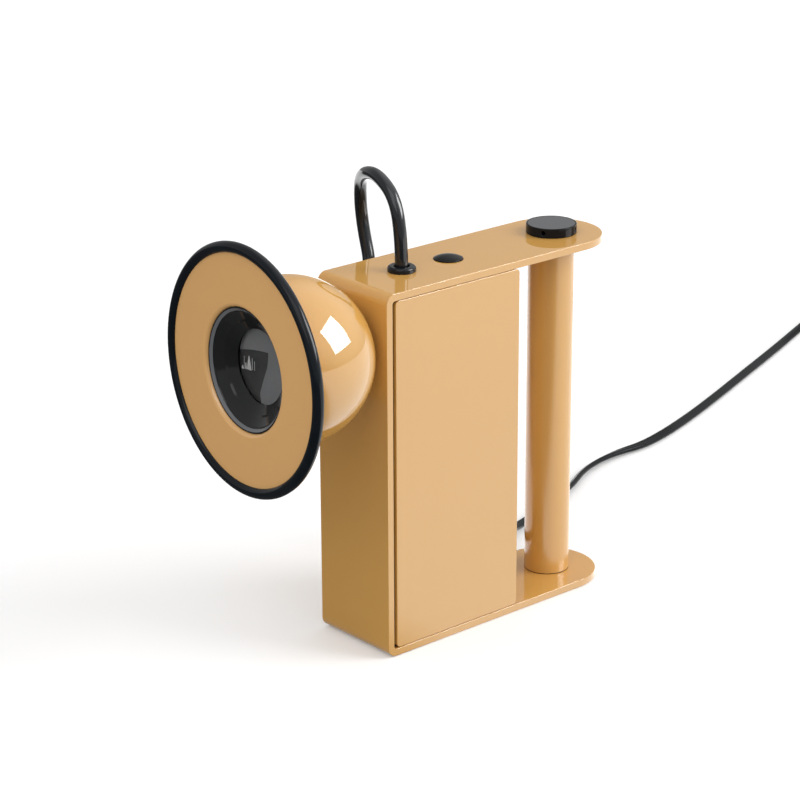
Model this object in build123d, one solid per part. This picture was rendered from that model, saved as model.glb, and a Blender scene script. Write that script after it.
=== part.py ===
from build123d import *
import math
import os

# Tabletop searchlight. Millimetres.
# Sub-parts are modelled with X measured from the outer face of the front wall towards the handle,
# Y from the middle plane towards the far side and Z from the underside of the bottom plate.
# place_in_row() then moves each one so that the origin is the middle of the base on the table.

# ---- frame strip: one plate bent twice into a U that lies on its side
LENGTH = 168.7
WIDTH = 55.0
HEIGHT = 200.0
PLATE = 4.0
BEND_INSIDE = 1.6
PLATE_EDGE = 0.5
PAD_SHEET = 0.5

# ---- how far a cutting shape runs past the face that it cuts
CUT = 1.0

# ---- box between the plates
BOX_LENGTH = 92.0
COVER_SHEET = 1.5
COVER_DEPTH = 9.5
COVER_FRONT_GAP = 2.0
COVER_PLATE_GAP = 0.35
COVER_CORNER = 1.5
COVER_EDGE = 0.6
REAR_SHEET = 2.0
REAR_TAB = 10.0

# ---- small fasteners: M3, and M2 at the switch. A pan head's sizes are shares of its shank's radius
M3_RADIUS = 1.5
M2_RADIUS = 1.0
SCREW_SLACK = 0.15
PAN_RADIUS = 1.8
PAN_HEIGHT = 1.25
PAN_DRIVE = 0.6
SCREW_BITE = 2.8
FASTENER_SLACK = 0.02
COVER_SCREW_INSET = 30.0
COVER_SCREW_LENGTH = 6.0
SCREW_EDGE = 6.75

# ---- handle
HANDLE_RADIUS = 12.5
HANDLE_WALL = 2.0
FOOT_LENGTH = 18.0
FIT = 0.05
M6_RADIUS = 3.0
M6_HEAD_RADIUS = 6.0
M6_RECESS = 0.3
M6_HEX = 2.0
M6_SHORT = 2.0

# ---- dimmer on the handle's axis
KNOB_RADIUS = 13.5
KNOB_TOP = 5.75
KNOB_GAP = 0.3
KNOB_EDGE = 0.5
KNOB_CAP_RADIUS = 12.6
KNOB_CAP = 0.6
KNOB_WEB = 0.6
SHAFT_RADIUS = 3.0
SHAFT_HOLE = 0.3
SHAFT_IN_BODY = 10.0
DIMMER_BODY_RADIUS = 8.5
DIMMER_BODY = 14.0
DIMMER_FLANGE = 2.0
GRUB_RADIUS = 1.3
GRUB_LENGTH = 5.0
GRUB_HEIGHT = 2.8
GRUB_ANGLES = (-152.5, -62.5)

# ---- push button
BUTTON_FROM_REAR = 25.6
BUTTON_RADIUS = 7.8
BUTTON_GAP = 0.2
BUTTON_DOME = 2.4
BUTTON_RIM = 0.5
BUTTON_SKIRT = 2.6
BUTTON_EDGE = 0.3
BUTTON_TRAVEL = 1.2
BUTTON_STEM_RADIUS = 2.4
SWITCH_WALL = 1.2
SWITCH_CUP = 14.0
SWITCH_CUP_FLOOR = 3.0
SWITCH_BLOCK = 13.0
SWITCH_BLOCK_HEIGHT = 10.0
SWITCH_EAR = 1.6
SWITCH_EAR_MARGIN = 0.3
SPRING_RADIUS = 4.4
SPRING_WIRE = 0.3
SPRING_TURNS = 5.0

# ---- head: steel ball, flange and rubber rim, on the beam axis
BALL_RADIUS = 43.8
BALL_WALL = 1.5
BALL_DROP = 31.4
SEAT_SINK = 2.2
HEAD_TURN = -3.0
HEAD_TILT = 0.7
FLANGE_SEAT = 2.7
FLANGE_SHEET = 2.4
FLANGE_RADIUS = 63.2
APERTURE_RADIUS = 32.4
APERTURE_LIP = 2.3
BEAD_RADIUS = 2.97
BEAD_INSET = 0.5
BEAD_BEHIND = 0.8

# ---- lamp cup in the aperture
CUP_GAP = 0.2
CUP_WALL = 1.4
CUP_SINK = 1.7
CUP_LENGTH = 14.9
CUP_RIM = 0.5
CUP_BEVEL = 2.2
CUP_BEVEL_DEPTH = 1.75
FUNNEL_WIDTH = 10.0
FUNNEL_DEPTH = 7.55
WINDOW_LAND = 0.6
WINDOW_EDGE = 1.2
GLASS_THICKNESS = 2.0
GLASS_BULGE = 1.2
GLASS_GAP = 0.1
BOWL_WALL = 1.2
BOWL_RIM = 1.0
BOWL_RIM_WIDTH = 1.7
BOWL_DEPTH = 21.0
BOWL_SAG = 2.4
NECK_RADIUS = 9.0
NECK_LENGTH = 4.0
HOLDER_LENGTH = 12.0
HOLDER_FLANGE = 2.0
CAPSULE_RADIUS = 6.5
CAPSULE_LENGTH = 17.0
CAPSULE_WALL = 1.0
EMITTER_RADIUS = 2.5
EMITTER_LENGTH = 9.0

# ---- ball seat and magnet in the front wall
SEAT_RADIUS = 17.0
SEAT_FLANGE_SIDE_GAP = 1.0
SEAT_FLANGE_RISE = 24.0
SEAT_FLANGE = 1.5
SEAT_FLANGE_CORNER = 5.0
SEAT_BORE = 10.0
BALL_GAP = 0.3
MAGNET_FRONT = 1.0
MAGNET_BACK = 9.0
MAGNET_CUP_WALL = 3.0
MAGNET_CUP_FLANGE = 1.5

# ---- leads
LEAD_DIAMETER = 7.0
LEAD_RUN_IN = 22.0
GROMMET_X = 34.0
GROMMET_RADIUS = 7.5
GROMMET_HEIGHT = 3.0
GROMMET_NECK = 5.5
GROMMET_BORE_GAP = 0.7
GROMMET_LIP = 1.5
GROMMET_ROUND = 1.5
GROMMET_MOUTH = 0.7
FERRULE_LENGTH = 6.0
FERRULE_RADIUS = 6.0
ELBOW_STAND = 7.7
ELBOW_RADIUS = 7.0
ELBOW_ARM = 20.0
ELBOW_ARM_ROOT = 6.5
ELBOW_ARM_TIP = 4.7
ELBOW_NECK = 6.0
ELBOW_FIT = 0.08
ELBOW_NUT_RADIUS = 9.0
ELBOW_NUT = 2.6

MAINS_DIAMETER = 5.6
MAINS_Z = 20.0
BOOT_COLLAR_RADIUS = 5.9
BOOT_COLLAR = 2.0
BOOT_ROOT = 4.9
BOOT_TIP = 3.5
BOOT_LENGTH = 18.5
BOOT_NECK = 5.4
BOOT_NUT_RADIUS = 7.2
BOOT_NUT_GAP = 0.3
BOOT_NUT = 3.0

COIL_X = 638.0
COIL_Y = 178.0
COIL_MIDDLE_RADIUS = 31.0
COIL_TURNS_WIDE = 3
COIL_TURNS_HIGH = 2
COIL_ROUND = 2.2
PLUG_ANGLE = -60.0
PLUG_LENGTH = 34.0
PLUG_WIDTH = 26.0
PLUG_HEIGHT = 13.7
PLUG_TAIL = 14.0
PLUG_NOSE = 5.0
PLUG_CORNER = 1.5
PLUG_EDGE = 1.2
PLUG_TAIL_RADIUS = 5.5
PLUG_TAIL_SEAT = 3.0
PIN_RADIUS = 2.0
PIN_LENGTH = 19.0
PIN_SPACING = 18.6

# ---- driver inside the box
DRIVER_LENGTH = 50.0
DRIVER_HEIGHT = 22.0
DRIVER_SIDE_GAP = 1.0
DRIVER_REAR_GAP = 0.5
DRIVER_EAR = 6.0
DRIVER_EAR_SHEET = 2.0
DRIVER_CORNER = 1.5
TERMINAL_SIZE = (16.0, 20.0, 9.0)

# ---- rubber sheet under the bottom plate
PAD_INSET = 5.0

# Route of the lead that loops from the top plate towards the elbow on the ball: X from the front
# wall, Y from the middle plane and Z from the top face. Its start and its last two points follow
# from the grommet and the elbow.
LEAD_ROUTE = [
    (34.0, 0.0, 16.0),
    (35.4, 5.8, 34.5),
    (37.0, 22.0, 46.0),
    (42.5, 39.5, 46.5),
    (50.8, 53.0, 35.0),
    (55.3, 57.0, 11.0),
    (53.8, 46.0, -19.0),
    (30.0, 44.0, -35.5),
]

# Route of the mains lead from the tip of its boot to the coil, in the same measure, and Z from the
# table. It starts at the boot's tip and lies on the table from the sixth point on.
MAINS_ROUTE = [
    (119.0, 10.5, 20.5),
    (127.2, 14.2, 19.8),
    (137.5, 25.5, 17.0),
    (149.0, 38.5, 11.5),
    (161.5, 50.0, 5.6),
    (178.0, 57.6, 2.8),
    (206.0, 68.3, 2.8),
    (238.0, 79.5, 2.8),
    (262.0, 93.5, 2.8),
    (283.0, 99.8, 2.8),
    (303.0, 102.3, 2.8),
    (322.0, 101.0, 2.8),
    (346.0, 105.5, 2.8),
    (385.0, 117.5, 2.8),
    (430.0, 134.0, 2.8),
    (478.0, 152.5, 2.8),
    (528.0, 171.5, 2.8),
    (575.0, 190.5, 2.8),
    (606.0, 203.0, 2.8),
    (629.0, 213.5, 2.8),
]

# ---- places worked out from the sizes above
M3_PASSAGE = M3_RADIUS + SCREW_SLACK
M2_PASSAGE = M2_RADIUS + SCREW_SLACK
TOP_INSIDE = HEIGHT - PLATE
HALF = WIDTH / 2
HANDLE_X = LENGTH - HALF
HANDLE_BORE = HANDLE_RADIUS - HANDLE_WALL
BALL_X = SEAT_SINK - BALL_RADIUS
BALL_Z = HEIGHT - BALL_DROP
BETWEEN_COVERS = HALF - COVER_DEPTH
BUTTON_X = BOX_LENGTH - BUTTON_FROM_REAR
SWITCH_RADIUS = BUTTON_RADIUS + BUTTON_GAP + SWITCH_WALL
COVER_START = PLATE + COVER_FRONT_GAP
COVER_BOTTOM = PLATE + COVER_PLATE_GAP
COVER_TOP = TOP_INSIDE - COVER_PLATE_GAP
REAR_BACK = BOX_LENGTH - COVER_SHEET
REAR_FRONT = REAR_BACK - REAR_SHEET
REAR_HALF = HALF - COVER_SHEET - COVER_PLATE_GAP
COVER_SCREW_Y = HALF - COVER_SHEET - (COVER_DEPTH - COVER_SHEET) / 2
DRIVER_HALF = BETWEEN_COVERS - DRIVER_SIDE_GAP
DRIVER_END = REAR_FRONT - REAR_TAB - DRIVER_REAR_GAP - DRIVER_EAR
DRIVER_START = DRIVER_END - DRIVER_LENGTH
COVER_SCREW_HEIGHTS = (PLATE + COVER_SCREW_INSET, TOP_INSIDE - COVER_SCREW_INSET)
FLANGE_BACK = math.sqrt(BALL_RADIUS ** 2 - (APERTURE_RADIUS + FLANGE_SEAT) ** 2)
FLANGE_FRONT = FLANGE_BACK + FLANGE_SHEET
BEAD_CENTRE_RADIUS = FLANGE_RADIUS - BEAD_INSET
BEAD_OFFSET = FLANGE_FRONT - BEAD_BEHIND
CUP_FRONT = FLANGE_FRONT - CUP_SINK
CUP_BACK = CUP_FRONT - CUP_LENGTH
CUP_OUTSIDE = APERTURE_RADIUS - CUP_GAP
CUP_INSIDE = CUP_OUTSIDE - CUP_WALL
CUP_MOUTH = CUP_OUTSIDE - CUP_RIM - CUP_BEVEL
FUNNEL_FRONT = CUP_FRONT - CUP_BEVEL_DEPTH
FUNNEL_BACK = FUNNEL_FRONT - FUNNEL_DEPTH
WINDOW_RADIUS = CUP_MOUTH - FUNNEL_WIDTH
GLASS_FRONT = FUNNEL_BACK - WINDOW_LAND
GLASS_RADIUS = WINDOW_RADIUS + WINDOW_EDGE
GLASS_BACK = GLASS_FRONT - GLASS_THICKNESS
SOCKET_BACK = GLASS_BACK - BOWL_RIM
BOWL_MOUTH = GLASS_BACK
BOWL_RADIUS = GLASS_RADIUS - BOWL_RIM_WIDTH
BOWL_NECK_X = BOWL_DEPTH - BOWL_MOUTH
ELBOW_REACH = BALL_RADIUS + ELBOW_STAND
GROMMET_BORE = LEAD_DIAMETER / 2 + GROMMET_BORE_GAP
MAINS_Y = BETWEEN_COVERS - BOOT_NUT_RADIUS - BOOT_NUT_GAP
COIL_HALF_WIDTH = COIL_TURNS_WIDE * MAINS_DIAMETER / 2
COIL_OUTSIDE = COIL_MIDDLE_RADIUS + COIL_HALF_WIDTH
COIL_HEIGHT = COIL_TURNS_HIGH * MAINS_DIAMETER

os.makedirs("parts", exist_ok=True)


# ---- helpers

def cylinder(radius, start, end):
    """A round bar from one point to another."""
    a, b = Vector(*start), Vector(*end)
    along = b - a
    plane = Plane(origin=a, z_dir=along)
    return plane * Cylinder(radius, along.length, align=(Align.CENTER, Align.CENTER, Align.MIN))


def cone(radius, far_radius, start, end):
    """A tapered round bar from one point to another."""
    a, b = Vector(*start), Vector(*end)
    along = b - a
    plane = Plane(origin=a, z_dir=along)
    align = (Align.CENTER, Align.CENTER, Align.MIN)
    return plane * Cone(radius, far_radius, along.length, align=align)


def hexagon(radius, start, end):
    """A hexagonal bar, its radius taken across the corners."""
    a, b = Vector(*start), Vector(*end)
    along = b - a
    plane = Plane(origin=a, z_dir=along)
    return extrude(plane * RegularPolygon(radius, 6), along.length)


def block(low, high):
    """A box between two corners."""
    size = [h - l for l, h in zip(low, high)]
    middle = [(h + l) / 2 for l, h in zip(low, high)]
    return Pos(*middle) * Box(*size)


def turned(outline):
    """A body turned about the beam axis, from its outline in (X, radius)."""
    points = [(x, r) for x, r in outline]
    face = make_face(Polyline(*points, close=True))
    return revolve(Plane.XZ * face, Axis.X)


def place_in_row(shape):
    """Front wall frame to row frame: the origin goes to the middle of the base, on the table."""
    return Pos(-LENGTH / 2, 0, PAD_SHEET) * shape


def on_head(shape):
    """Ball frame to front wall frame, with the head as it is set: the beam leaves along -X."""
    return Pos(BALL_X, 0, BALL_Z) * Rot(0, 0, HEAD_TURN) * Rot(0, HEAD_TILT, 0) * shape


def on_elbow(shape):
    """Ball frame to front wall frame for what turns with the head but doesn't tilt."""
    return Pos(BALL_X, 0, BALL_Z) * Rot(0, 0, HEAD_TURN) * shape


def pan_screw(start, direction, length, radius=M3_RADIUS):
    """A pan head screw: start is under the head and direction is the way it is driven."""
    a = Vector(*start)
    way = Vector(*direction)
    top = a - way * PAN_HEIGHT * radius
    shank = cylinder(radius - FASTENER_SLACK, tuple(a), tuple(a + way * length))
    head = cylinder(PAN_RADIUS * radius, tuple(top), tuple(a))
    drive = hexagon(radius, tuple(top), tuple(top + way * PAN_DRIVE * radius))
    return shank + head - drive


def save(name, shape):
    export_step(shape, f"parts/{name}.step")


def save_placed(name, shape):
    save(name, place_in_row(shape))


def fillet_route(points, shortest):
    """Straight runs joined by tangent arcs, each as large as its two runs allow."""
    radii = []
    for before, here, after in zip(points, points[1:], points[2:]):
        run_in = Vector(*here) - Vector(*before)
        run_out = Vector(*after) - Vector(*here)
        turn = math.radians(run_in.get_angle(run_out))
        radii.append(0.45 * min(run_in.length, run_out.length) / math.tan(turn / 2))
    print("arc radii:", [round(r, 1) for r in radii], "shortest allowed", shortest)
    return FilletPolyline(*points, radius=radii)


def lead_tube(points, diameter, name):
    """A round lead along a route, with its volume set against its section times its length."""
    path = fillet_route(points, 3 * diameter)
    start = Plane(origin=path @ 0, z_dir=path % 0)
    tube = sweep(start * Circle(diameter / 2), path=path)
    expected = math.pi * (diameter / 2) ** 2 * path.length
    print(name, "length", round(path.length, 1), "volume over section times length",
          round(tube.volume / expected, 4))
    return tube


# ---- frame strip

def plan_outline(height):
    """The strip seen from above: square at the front wall and half round at the handle."""
    square = block((0, -HALF, 0), (HANDLE_X, HALF, height))
    return square + cylinder(HALF, (HANDLE_X, 0, 0), (HANDLE_X, 0, height))


def cover_screw_places(side):
    return [(BOX_LENGTH, side * COVER_SCREW_Y, z) for z in COVER_SCREW_HEIGHTS]


def rear_tab_screw_places():
    x = REAR_FRONT - REAR_TAB / 2
    y = BETWEEN_COVERS - SCREW_EDGE
    return [(x, side * y) for side in (-1, 1)]


def driver_screw_places():
    return [(DRIVER_START - DRIVER_EAR / 2, 0), (DRIVER_END + DRIVER_EAR / 2, 0)]


def switch_screw_places():
    y = SWITCH_RADIUS + SWITCH_EAR_MARGIN + PAN_RADIUS * M2_RADIUS
    return [(BUTTON_X, side * y) for side in (-1, 1)]


def seat_screw_places():
    y = BETWEEN_COVERS - SEAT_FLANGE_SIDE_GAP - SCREW_EDGE
    z = SEAT_FLANGE_RISE - SCREW_EDGE
    return [(side * y, BALL_Z + rise * z) for side in (-1, 1) for rise in (-1, 1)]


def frame_strip():
    profile = make_face(Polyline(
        (0, 0), (LENGTH, 0), (LENGTH, PLATE), (PLATE, PLATE),
        (PLATE, TOP_INSIDE), (LENGTH, TOP_INSIDE), (LENGTH, HEIGHT), (0, HEIGHT), close=True))
    corners = profile.vertices()
    outer = [v for v in corners if v.X < PLATE / 2]
    inner = [v for v in corners if abs(v.X - PLATE) < PLATE / 2]
    profile = fillet(outer, BEND_INSIDE + PLATE)
    inner = [v for v in profile.vertices()
             if abs(v.X - PLATE) < 0.01 and min(abs(v.Y - PLATE), abs(v.Y - TOP_INSIDE)) < 0.01]
    profile = fillet(inner, BEND_INSIDE)
    strip = extrude(Plane.XZ * profile, HALF, both=True)
    strip = strip & plan_outline(HEIGHT)
    side_edges = [e for e in strip.edges()
                  if abs(abs(e.center().Y) - HALF) < 0.01 and e.length > BEND_INSIDE]
    nose_edges = [e for e in strip.edges() if e.geom_type == GeomType.CIRCLE
                  and e.center(CenterOf.BOUNDING_BOX).X > HANDLE_X]
    strip = fillet(side_edges + nose_edges, PLATE_EDGE)

    # ball seat, its screws, and the three holes in the top plate
    strip -= cylinder(SEAT_RADIUS, (-CUT, 0, BALL_Z), (PLATE + CUT, 0, BALL_Z))
    for y, z in seat_screw_places():
        strip -= cylinder(M3_RADIUS, (PLATE - SCREW_BITE, y, z), (PLATE + CUT, y, z))
    top = HEIGHT + CUT
    strip -= cylinder(GROMMET_NECK + FIT, (GROMMET_X, 0, TOP_INSIDE - CUT), (GROMMET_X, 0, top))
    strip -= cylinder(BUTTON_RADIUS + BUTTON_GAP, (BUTTON_X, 0, TOP_INSIDE - CUT), (BUTTON_X, 0, top))
    strip -= cylinder(SHAFT_RADIUS + SHAFT_HOLE, (HANDLE_X, 0, TOP_INSIDE - CUT), (HANDLE_X, 0, top))

    # handle screw and tapped blind holes
    sink = M6_HEAD_RADIUS - M6_RADIUS
    strip -= cylinder(M6_RADIUS + FIT, (HANDLE_X, 0, -CUT), (HANDLE_X, 0, PLATE + CUT))
    strip -= cylinder(M6_HEAD_RADIUS + FIT, (HANDLE_X, 0, -CUT), (HANDLE_X, 0, M6_RECESS))
    strip -= cone(M6_HEAD_RADIUS + FIT, M6_RADIUS + FIT,
                  (HANDLE_X, 0, M6_RECESS), (HANDLE_X, 0, M6_RECESS + sink))
    for x, y in rear_tab_screw_places():
        strip -= cylinder(M3_RADIUS, (x, y, PLATE - SCREW_BITE), (x, y, PLATE + CUT))
        strip -= cylinder(M3_RADIUS, (x, y, TOP_INSIDE - CUT), (x, y, TOP_INSIDE + SCREW_BITE))
    for x, y in driver_screw_places():
        strip -= cylinder(M3_RADIUS, (x, y, PLATE - SCREW_BITE), (x, y, PLATE + CUT))
    for x, y in switch_screw_places():
        strip -= cylinder(M2_RADIUS, (x, y, TOP_INSIDE - CUT), (x, y, TOP_INSIDE + SCREW_BITE))
    return strip


def base_pad():
    """A sheet with the plan of the bottom plate, set in from its edge all round."""
    half = HALF - PAD_INSET
    square = block((PAD_INSET, -half, -PAD_SHEET), (HANDLE_X, half, 0))
    return square + cylinder(half, (HANDLE_X, 0, -PAD_SHEET), (HANDLE_X, 0, 0))


# ---- box: two folded covers and the wall between them at the back

def side_cover(side):
    """A shallow tray of folded sheet, open towards the middle of the box."""
    face = side * HALF
    back = side * (HALF - COVER_DEPTH)
    low = (COVER_START, min(face, back), COVER_BOTTOM)
    high = (BOX_LENGTH, max(face, back), COVER_TOP)
    tray = block(low, high)
    tray = fillet(tray.edges().filter_by(Axis.Y), COVER_CORNER)
    rim = [e for e in tray.edges() if abs(e.center().Y - face) < 0.01]
    tray = fillet(rim, COVER_EDGE)
    sheet = COVER_SHEET
    open_side = back - side
    skin = face - side * sheet
    hollow_low = (COVER_START + sheet, min(skin, open_side), COVER_BOTTOM + sheet)
    hollow_high = (BOX_LENGTH - sheet, max(skin, open_side), COVER_TOP - sheet)
    tray -= block(hollow_low, hollow_high)
    for x, y, z in cover_screw_places(side):
        tray -= cylinder(M3_PASSAGE, (x - 2 * sheet, y, z), (x + CUT, y, z))
    return tray


def rear_wall():
    wall = block((REAR_FRONT, -REAR_HALF, PLATE), (REAR_BACK, REAR_HALF, TOP_INSIDE))
    half_tab = BETWEEN_COVERS - COVER_PLATE_GAP
    start = REAR_FRONT - REAR_TAB
    wall += block((start, -half_tab, PLATE), (REAR_FRONT, half_tab, PLATE + REAR_SHEET))
    wall += block((start, -half_tab, TOP_INSIDE - REAR_SHEET), (REAR_FRONT, half_tab, TOP_INSIDE))
    # the covers' folded top and bottom edges pass beside the tabs, over notches in the wall's corners
    notch = COVER_PLATE_GAP + COVER_SHEET + COVER_PLATE_GAP
    for side in (-1, 1):
        y = sorted((side * (HALF - COVER_DEPTH - COVER_PLATE_GAP), side * HALF))
        x = (REAR_FRONT - CUT, REAR_BACK + CUT)
        wall -= block((x[0], y[0], PLATE - CUT), (x[1], y[1], PLATE + notch))
        wall -= block((x[0], y[0], TOP_INSIDE - notch), (x[1], y[1], TOP_INSIDE + CUT))
        for x, y_screw, z in cover_screw_places(side):
            wall -= cylinder(M3_RADIUS, (REAR_FRONT - CUT, y_screw, z), (x, y_screw, z))
    for x, y in rear_tab_screw_places():
        wall -= cylinder(M3_PASSAGE, (x, y, PLATE - CUT), (x, y, PLATE + REAR_SHEET + CUT))
        wall -= cylinder(M3_PASSAGE, (x, y, TOP_INSIDE - REAR_SHEET - CUT), (x, y, TOP_INSIDE + CUT))
    y, z = MAINS_Y, MAINS_Z
    return wall - cylinder(BOOT_NECK + FIT, (REAR_FRONT - CUT, y, z), (REAR_BACK + CUT, y, z))


def cover_screws():
    screws = [pan_screw(place, (-1, 0, 0), COVER_SCREW_LENGTH)
              for side in (-1, 1) for place in cover_screw_places(side)]
    return sum(screws[1:], screws[0])


def rear_wall_screws():
    reach = REAR_SHEET + SCREW_BITE
    low = [pan_screw((x, y, PLATE + REAR_SHEET), (0, 0, -1), reach) for x, y in rear_tab_screw_places()]
    high = [pan_screw((x, y, TOP_INSIDE - REAR_SHEET), (0, 0, 1), reach)
            for x, y in rear_tab_screw_places()]
    return sum(low[1:] + high, low[0])


# ---- handle

def handle_tube():
    low, high = (HANDLE_X, 0, PLATE), (HANDLE_X, 0, TOP_INSIDE)
    return cylinder(HANDLE_RADIUS, low, high) - cylinder(HANDLE_BORE, low, high)


def handle_foot():
    low, high = (HANDLE_X, 0, PLATE), (HANDLE_X, 0, PLATE + FOOT_LENGTH)
    return cylinder(HANDLE_BORE - FIT, low, high) - cylinder(M6_RADIUS + FIT, low, high)


def handle_screw():
    sink = M6_HEAD_RADIUS - M6_RADIUS
    head_top = M6_RECESS + sink
    screw = cone(M6_HEAD_RADIUS, M6_RADIUS, (HANDLE_X, 0, M6_RECESS), (HANDLE_X, 0, head_top))
    screw += cylinder(M6_RADIUS, (HANDLE_X, 0, head_top), (HANDLE_X, 0, PLATE + FOOT_LENGTH - M6_SHORT))
    return screw - hexagon(M6_HEX, (HANDLE_X, 0, M6_RECESS), (HANDLE_X, 0, M6_RECESS + M6_HEX))


# ---- dimmer

def dimmer_body():
    top = (HANDLE_X, 0, TOP_INSIDE)
    body = cylinder(HANDLE_BORE - FIT, (HANDLE_X, 0, TOP_INSIDE - DIMMER_FLANGE), top)
    body += cylinder(DIMMER_BODY_RADIUS, (HANDLE_X, 0, TOP_INSIDE - DIMMER_BODY), top)
    return body - cylinder(SHAFT_RADIUS + FIT, (HANDLE_X, 0, TOP_INSIDE - SHAFT_IN_BODY - FIT), top)


def dimmer_shaft():
    end = HEIGHT + KNOB_TOP - KNOB_CAP - KNOB_WEB
    return cylinder(SHAFT_RADIUS, (HANDLE_X, 0, TOP_INSIDE - SHAFT_IN_BODY), (HANDLE_X, 0, end))


def dimmer_knob():
    bottom, top = HEIGHT + KNOB_GAP, HEIGHT + KNOB_TOP
    knob = cylinder(KNOB_RADIUS, (HANDLE_X, 0, bottom), (HANDLE_X, 0, top))
    upper = [e for e in knob.edges() if abs(e.center().Z - top) < 0.01]
    knob = fillet(upper, KNOB_EDGE)
    knob -= cylinder(KNOB_CAP_RADIUS, (HANDLE_X, 0, top - KNOB_CAP), (HANDLE_X, 0, top + CUT))
    shaft_end = top - KNOB_CAP - KNOB_WEB
    knob -= cylinder(SHAFT_RADIUS + FASTENER_SLACK, (HANDLE_X, 0, bottom), (HANDLE_X, 0, shaft_end))
    for angle in GRUB_ANGLES:
        knob -= grub_bore(angle, 0, KNOB_RADIUS + CUT, GRUB_RADIUS)
    return knob


def grub_bore(angle, start, end, radius):
    """A radial bar through the knob's side at one of its set screws."""
    a = math.radians(angle)
    z = HEIGHT + GRUB_HEIGHT
    inner = (HANDLE_X + start * math.cos(a), start * math.sin(a), z)
    outer = (HANDLE_X + end * math.cos(a), end * math.sin(a), z)
    return cylinder(radius, inner, outer)


def knob_cap():
    top = HEIGHT + KNOB_TOP
    return cylinder(KNOB_CAP_RADIUS - FIT, (HANDLE_X, 0, top - KNOB_CAP), (HANDLE_X, 0, top - FIT))


def knob_grub_screws():
    start = SHAFT_RADIUS + FIT
    screws = [grub_bore(a, start, start + GRUB_LENGTH, GRUB_RADIUS - FASTENER_SLACK)
              for a in GRUB_ANGLES]
    return sum(screws[1:], screws[0])


# ---- push button and its switch

def push_button():
    edge = HEIGHT + BUTTON_RIM
    bottom = HEIGHT - BUTTON_SKIRT
    rise = BUTTON_DOME - BUTTON_RIM
    dome_radius = (BUTTON_RADIUS ** 2 + rise ** 2) / (2 * rise)
    centre = edge + rise - dome_radius
    cap = cylinder(BUTTON_RADIUS, (BUTTON_X, 0, bottom), (BUTTON_X, 0, edge + rise))
    cap &= Pos(BUTTON_X, 0, centre) * Sphere(dome_radius)
    rim = [e for e in cap.edges() if abs(e.center(CenterOf.BOUNDING_BOX).Z - edge) < 0.1]
    cap = fillet(rim, BUTTON_EDGE)
    return cap + cylinder(BUTTON_STEM_RADIUS, (BUTTON_X, 0, TOP_INSIDE - SWITCH_CUP), (BUTTON_X, 0, bottom))


def switch_body():
    """A cup under the plate that the button sinks into, over the contact block."""
    bottom = TOP_INSIDE - SWITCH_CUP
    floor = bottom + SWITCH_CUP_FLOOR
    cup = cylinder(SWITCH_RADIUS, (BUTTON_X, 0, bottom), (BUTTON_X, 0, TOP_INSIDE))
    ear = PAN_RADIUS * M2_RADIUS + SWITCH_EAR_MARGIN
    reach = SWITCH_RADIUS + 2 * ear
    cup += block((BUTTON_X - ear, -reach, TOP_INSIDE - SWITCH_EAR), (BUTTON_X + ear, reach, TOP_INSIDE))
    half = SWITCH_BLOCK / 2
    cup += block((BUTTON_X - half, -half, bottom - SWITCH_BLOCK_HEIGHT), (BUTTON_X + half, half, bottom))
    cup -= cylinder(BUTTON_RADIUS + BUTTON_GAP, (BUTTON_X, 0, floor), (BUTTON_X, 0, TOP_INSIDE))
    bore_end = bottom - BUTTON_TRAVEL - BUTTON_GAP
    cup -= cylinder(BUTTON_STEM_RADIUS + FIT, (BUTTON_X, 0, bore_end), (BUTTON_X, 0, floor))
    for x, y in switch_screw_places():
        cup -= cylinder(M2_PASSAGE, (x, y, TOP_INSIDE - SWITCH_EAR - CUT), (x, y, TOP_INSIDE))
    return cup


def switch_screws():
    z = TOP_INSIDE - SWITCH_EAR
    reach = SWITCH_EAR + SCREW_BITE
    screws = [pan_screw((x, y, z), (0, 0, 1), reach, M2_RADIUS) for x, y in switch_screw_places()]
    return sum(screws[1:], screws[0])


def spring_ends():
    """Heights of the two seats that the button spring stands between."""
    return TOP_INSIDE - SWITCH_CUP + SWITCH_CUP_FLOOR, HEIGHT - BUTTON_SKIRT


def button_spring():
    low, high = spring_ends()
    wire = SPRING_WIRE + FIT
    height = high - low - 2 * wire
    path = Helix(height / SPRING_TURNS, height, SPRING_RADIUS)
    start = Plane(origin=path @ 0, z_dir=path % 0)
    coil = sweep(start * Circle(SPRING_WIRE), path=path, is_frenet=True)
    return Pos(BUTTON_X, 0, low + wire) * coil


# ---- ball seat and magnet

def ball_at_seat():
    return Pos(BALL_X, 0, BALL_Z) * Rot(0, 0, 180) * Sphere(BALL_RADIUS + BALL_GAP)


def seat_flange(start, thickness):
    """An oblong plate behind the front wall, narrow enough to pass between the two covers."""
    y, z = BETWEEN_COVERS - SEAT_FLANGE_SIDE_GAP, SEAT_FLANGE_RISE
    plate = block((start, -y, BALL_Z - z), (start + thickness, y, BALL_Z + z))
    return fillet(plate.edges().filter_by(Axis.X), SEAT_FLANGE_CORNER)


def ball_seat():
    z = BALL_Z
    ring = cylinder(SEAT_RADIUS - FIT, (0, 0, z), (PLATE, 0, z))
    ring += seat_flange(PLATE, SEAT_FLANGE)
    ring -= cylinder(SEAT_BORE, (-CUT, 0, z), (PLATE + SEAT_FLANGE + CUT, 0, z))
    ring -= ball_at_seat()
    for y, z_screw in seat_screw_places():
        ring -= cylinder(M3_PASSAGE, (0, y, z_screw), (PLATE + SEAT_FLANGE + CUT, y, z_screw))
    return ring


def seat_magnet():
    return cylinder(SEAT_BORE - FIT, (MAGNET_FRONT, 0, BALL_Z), (MAGNET_BACK, 0, BALL_Z)) - ball_at_seat()


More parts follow.
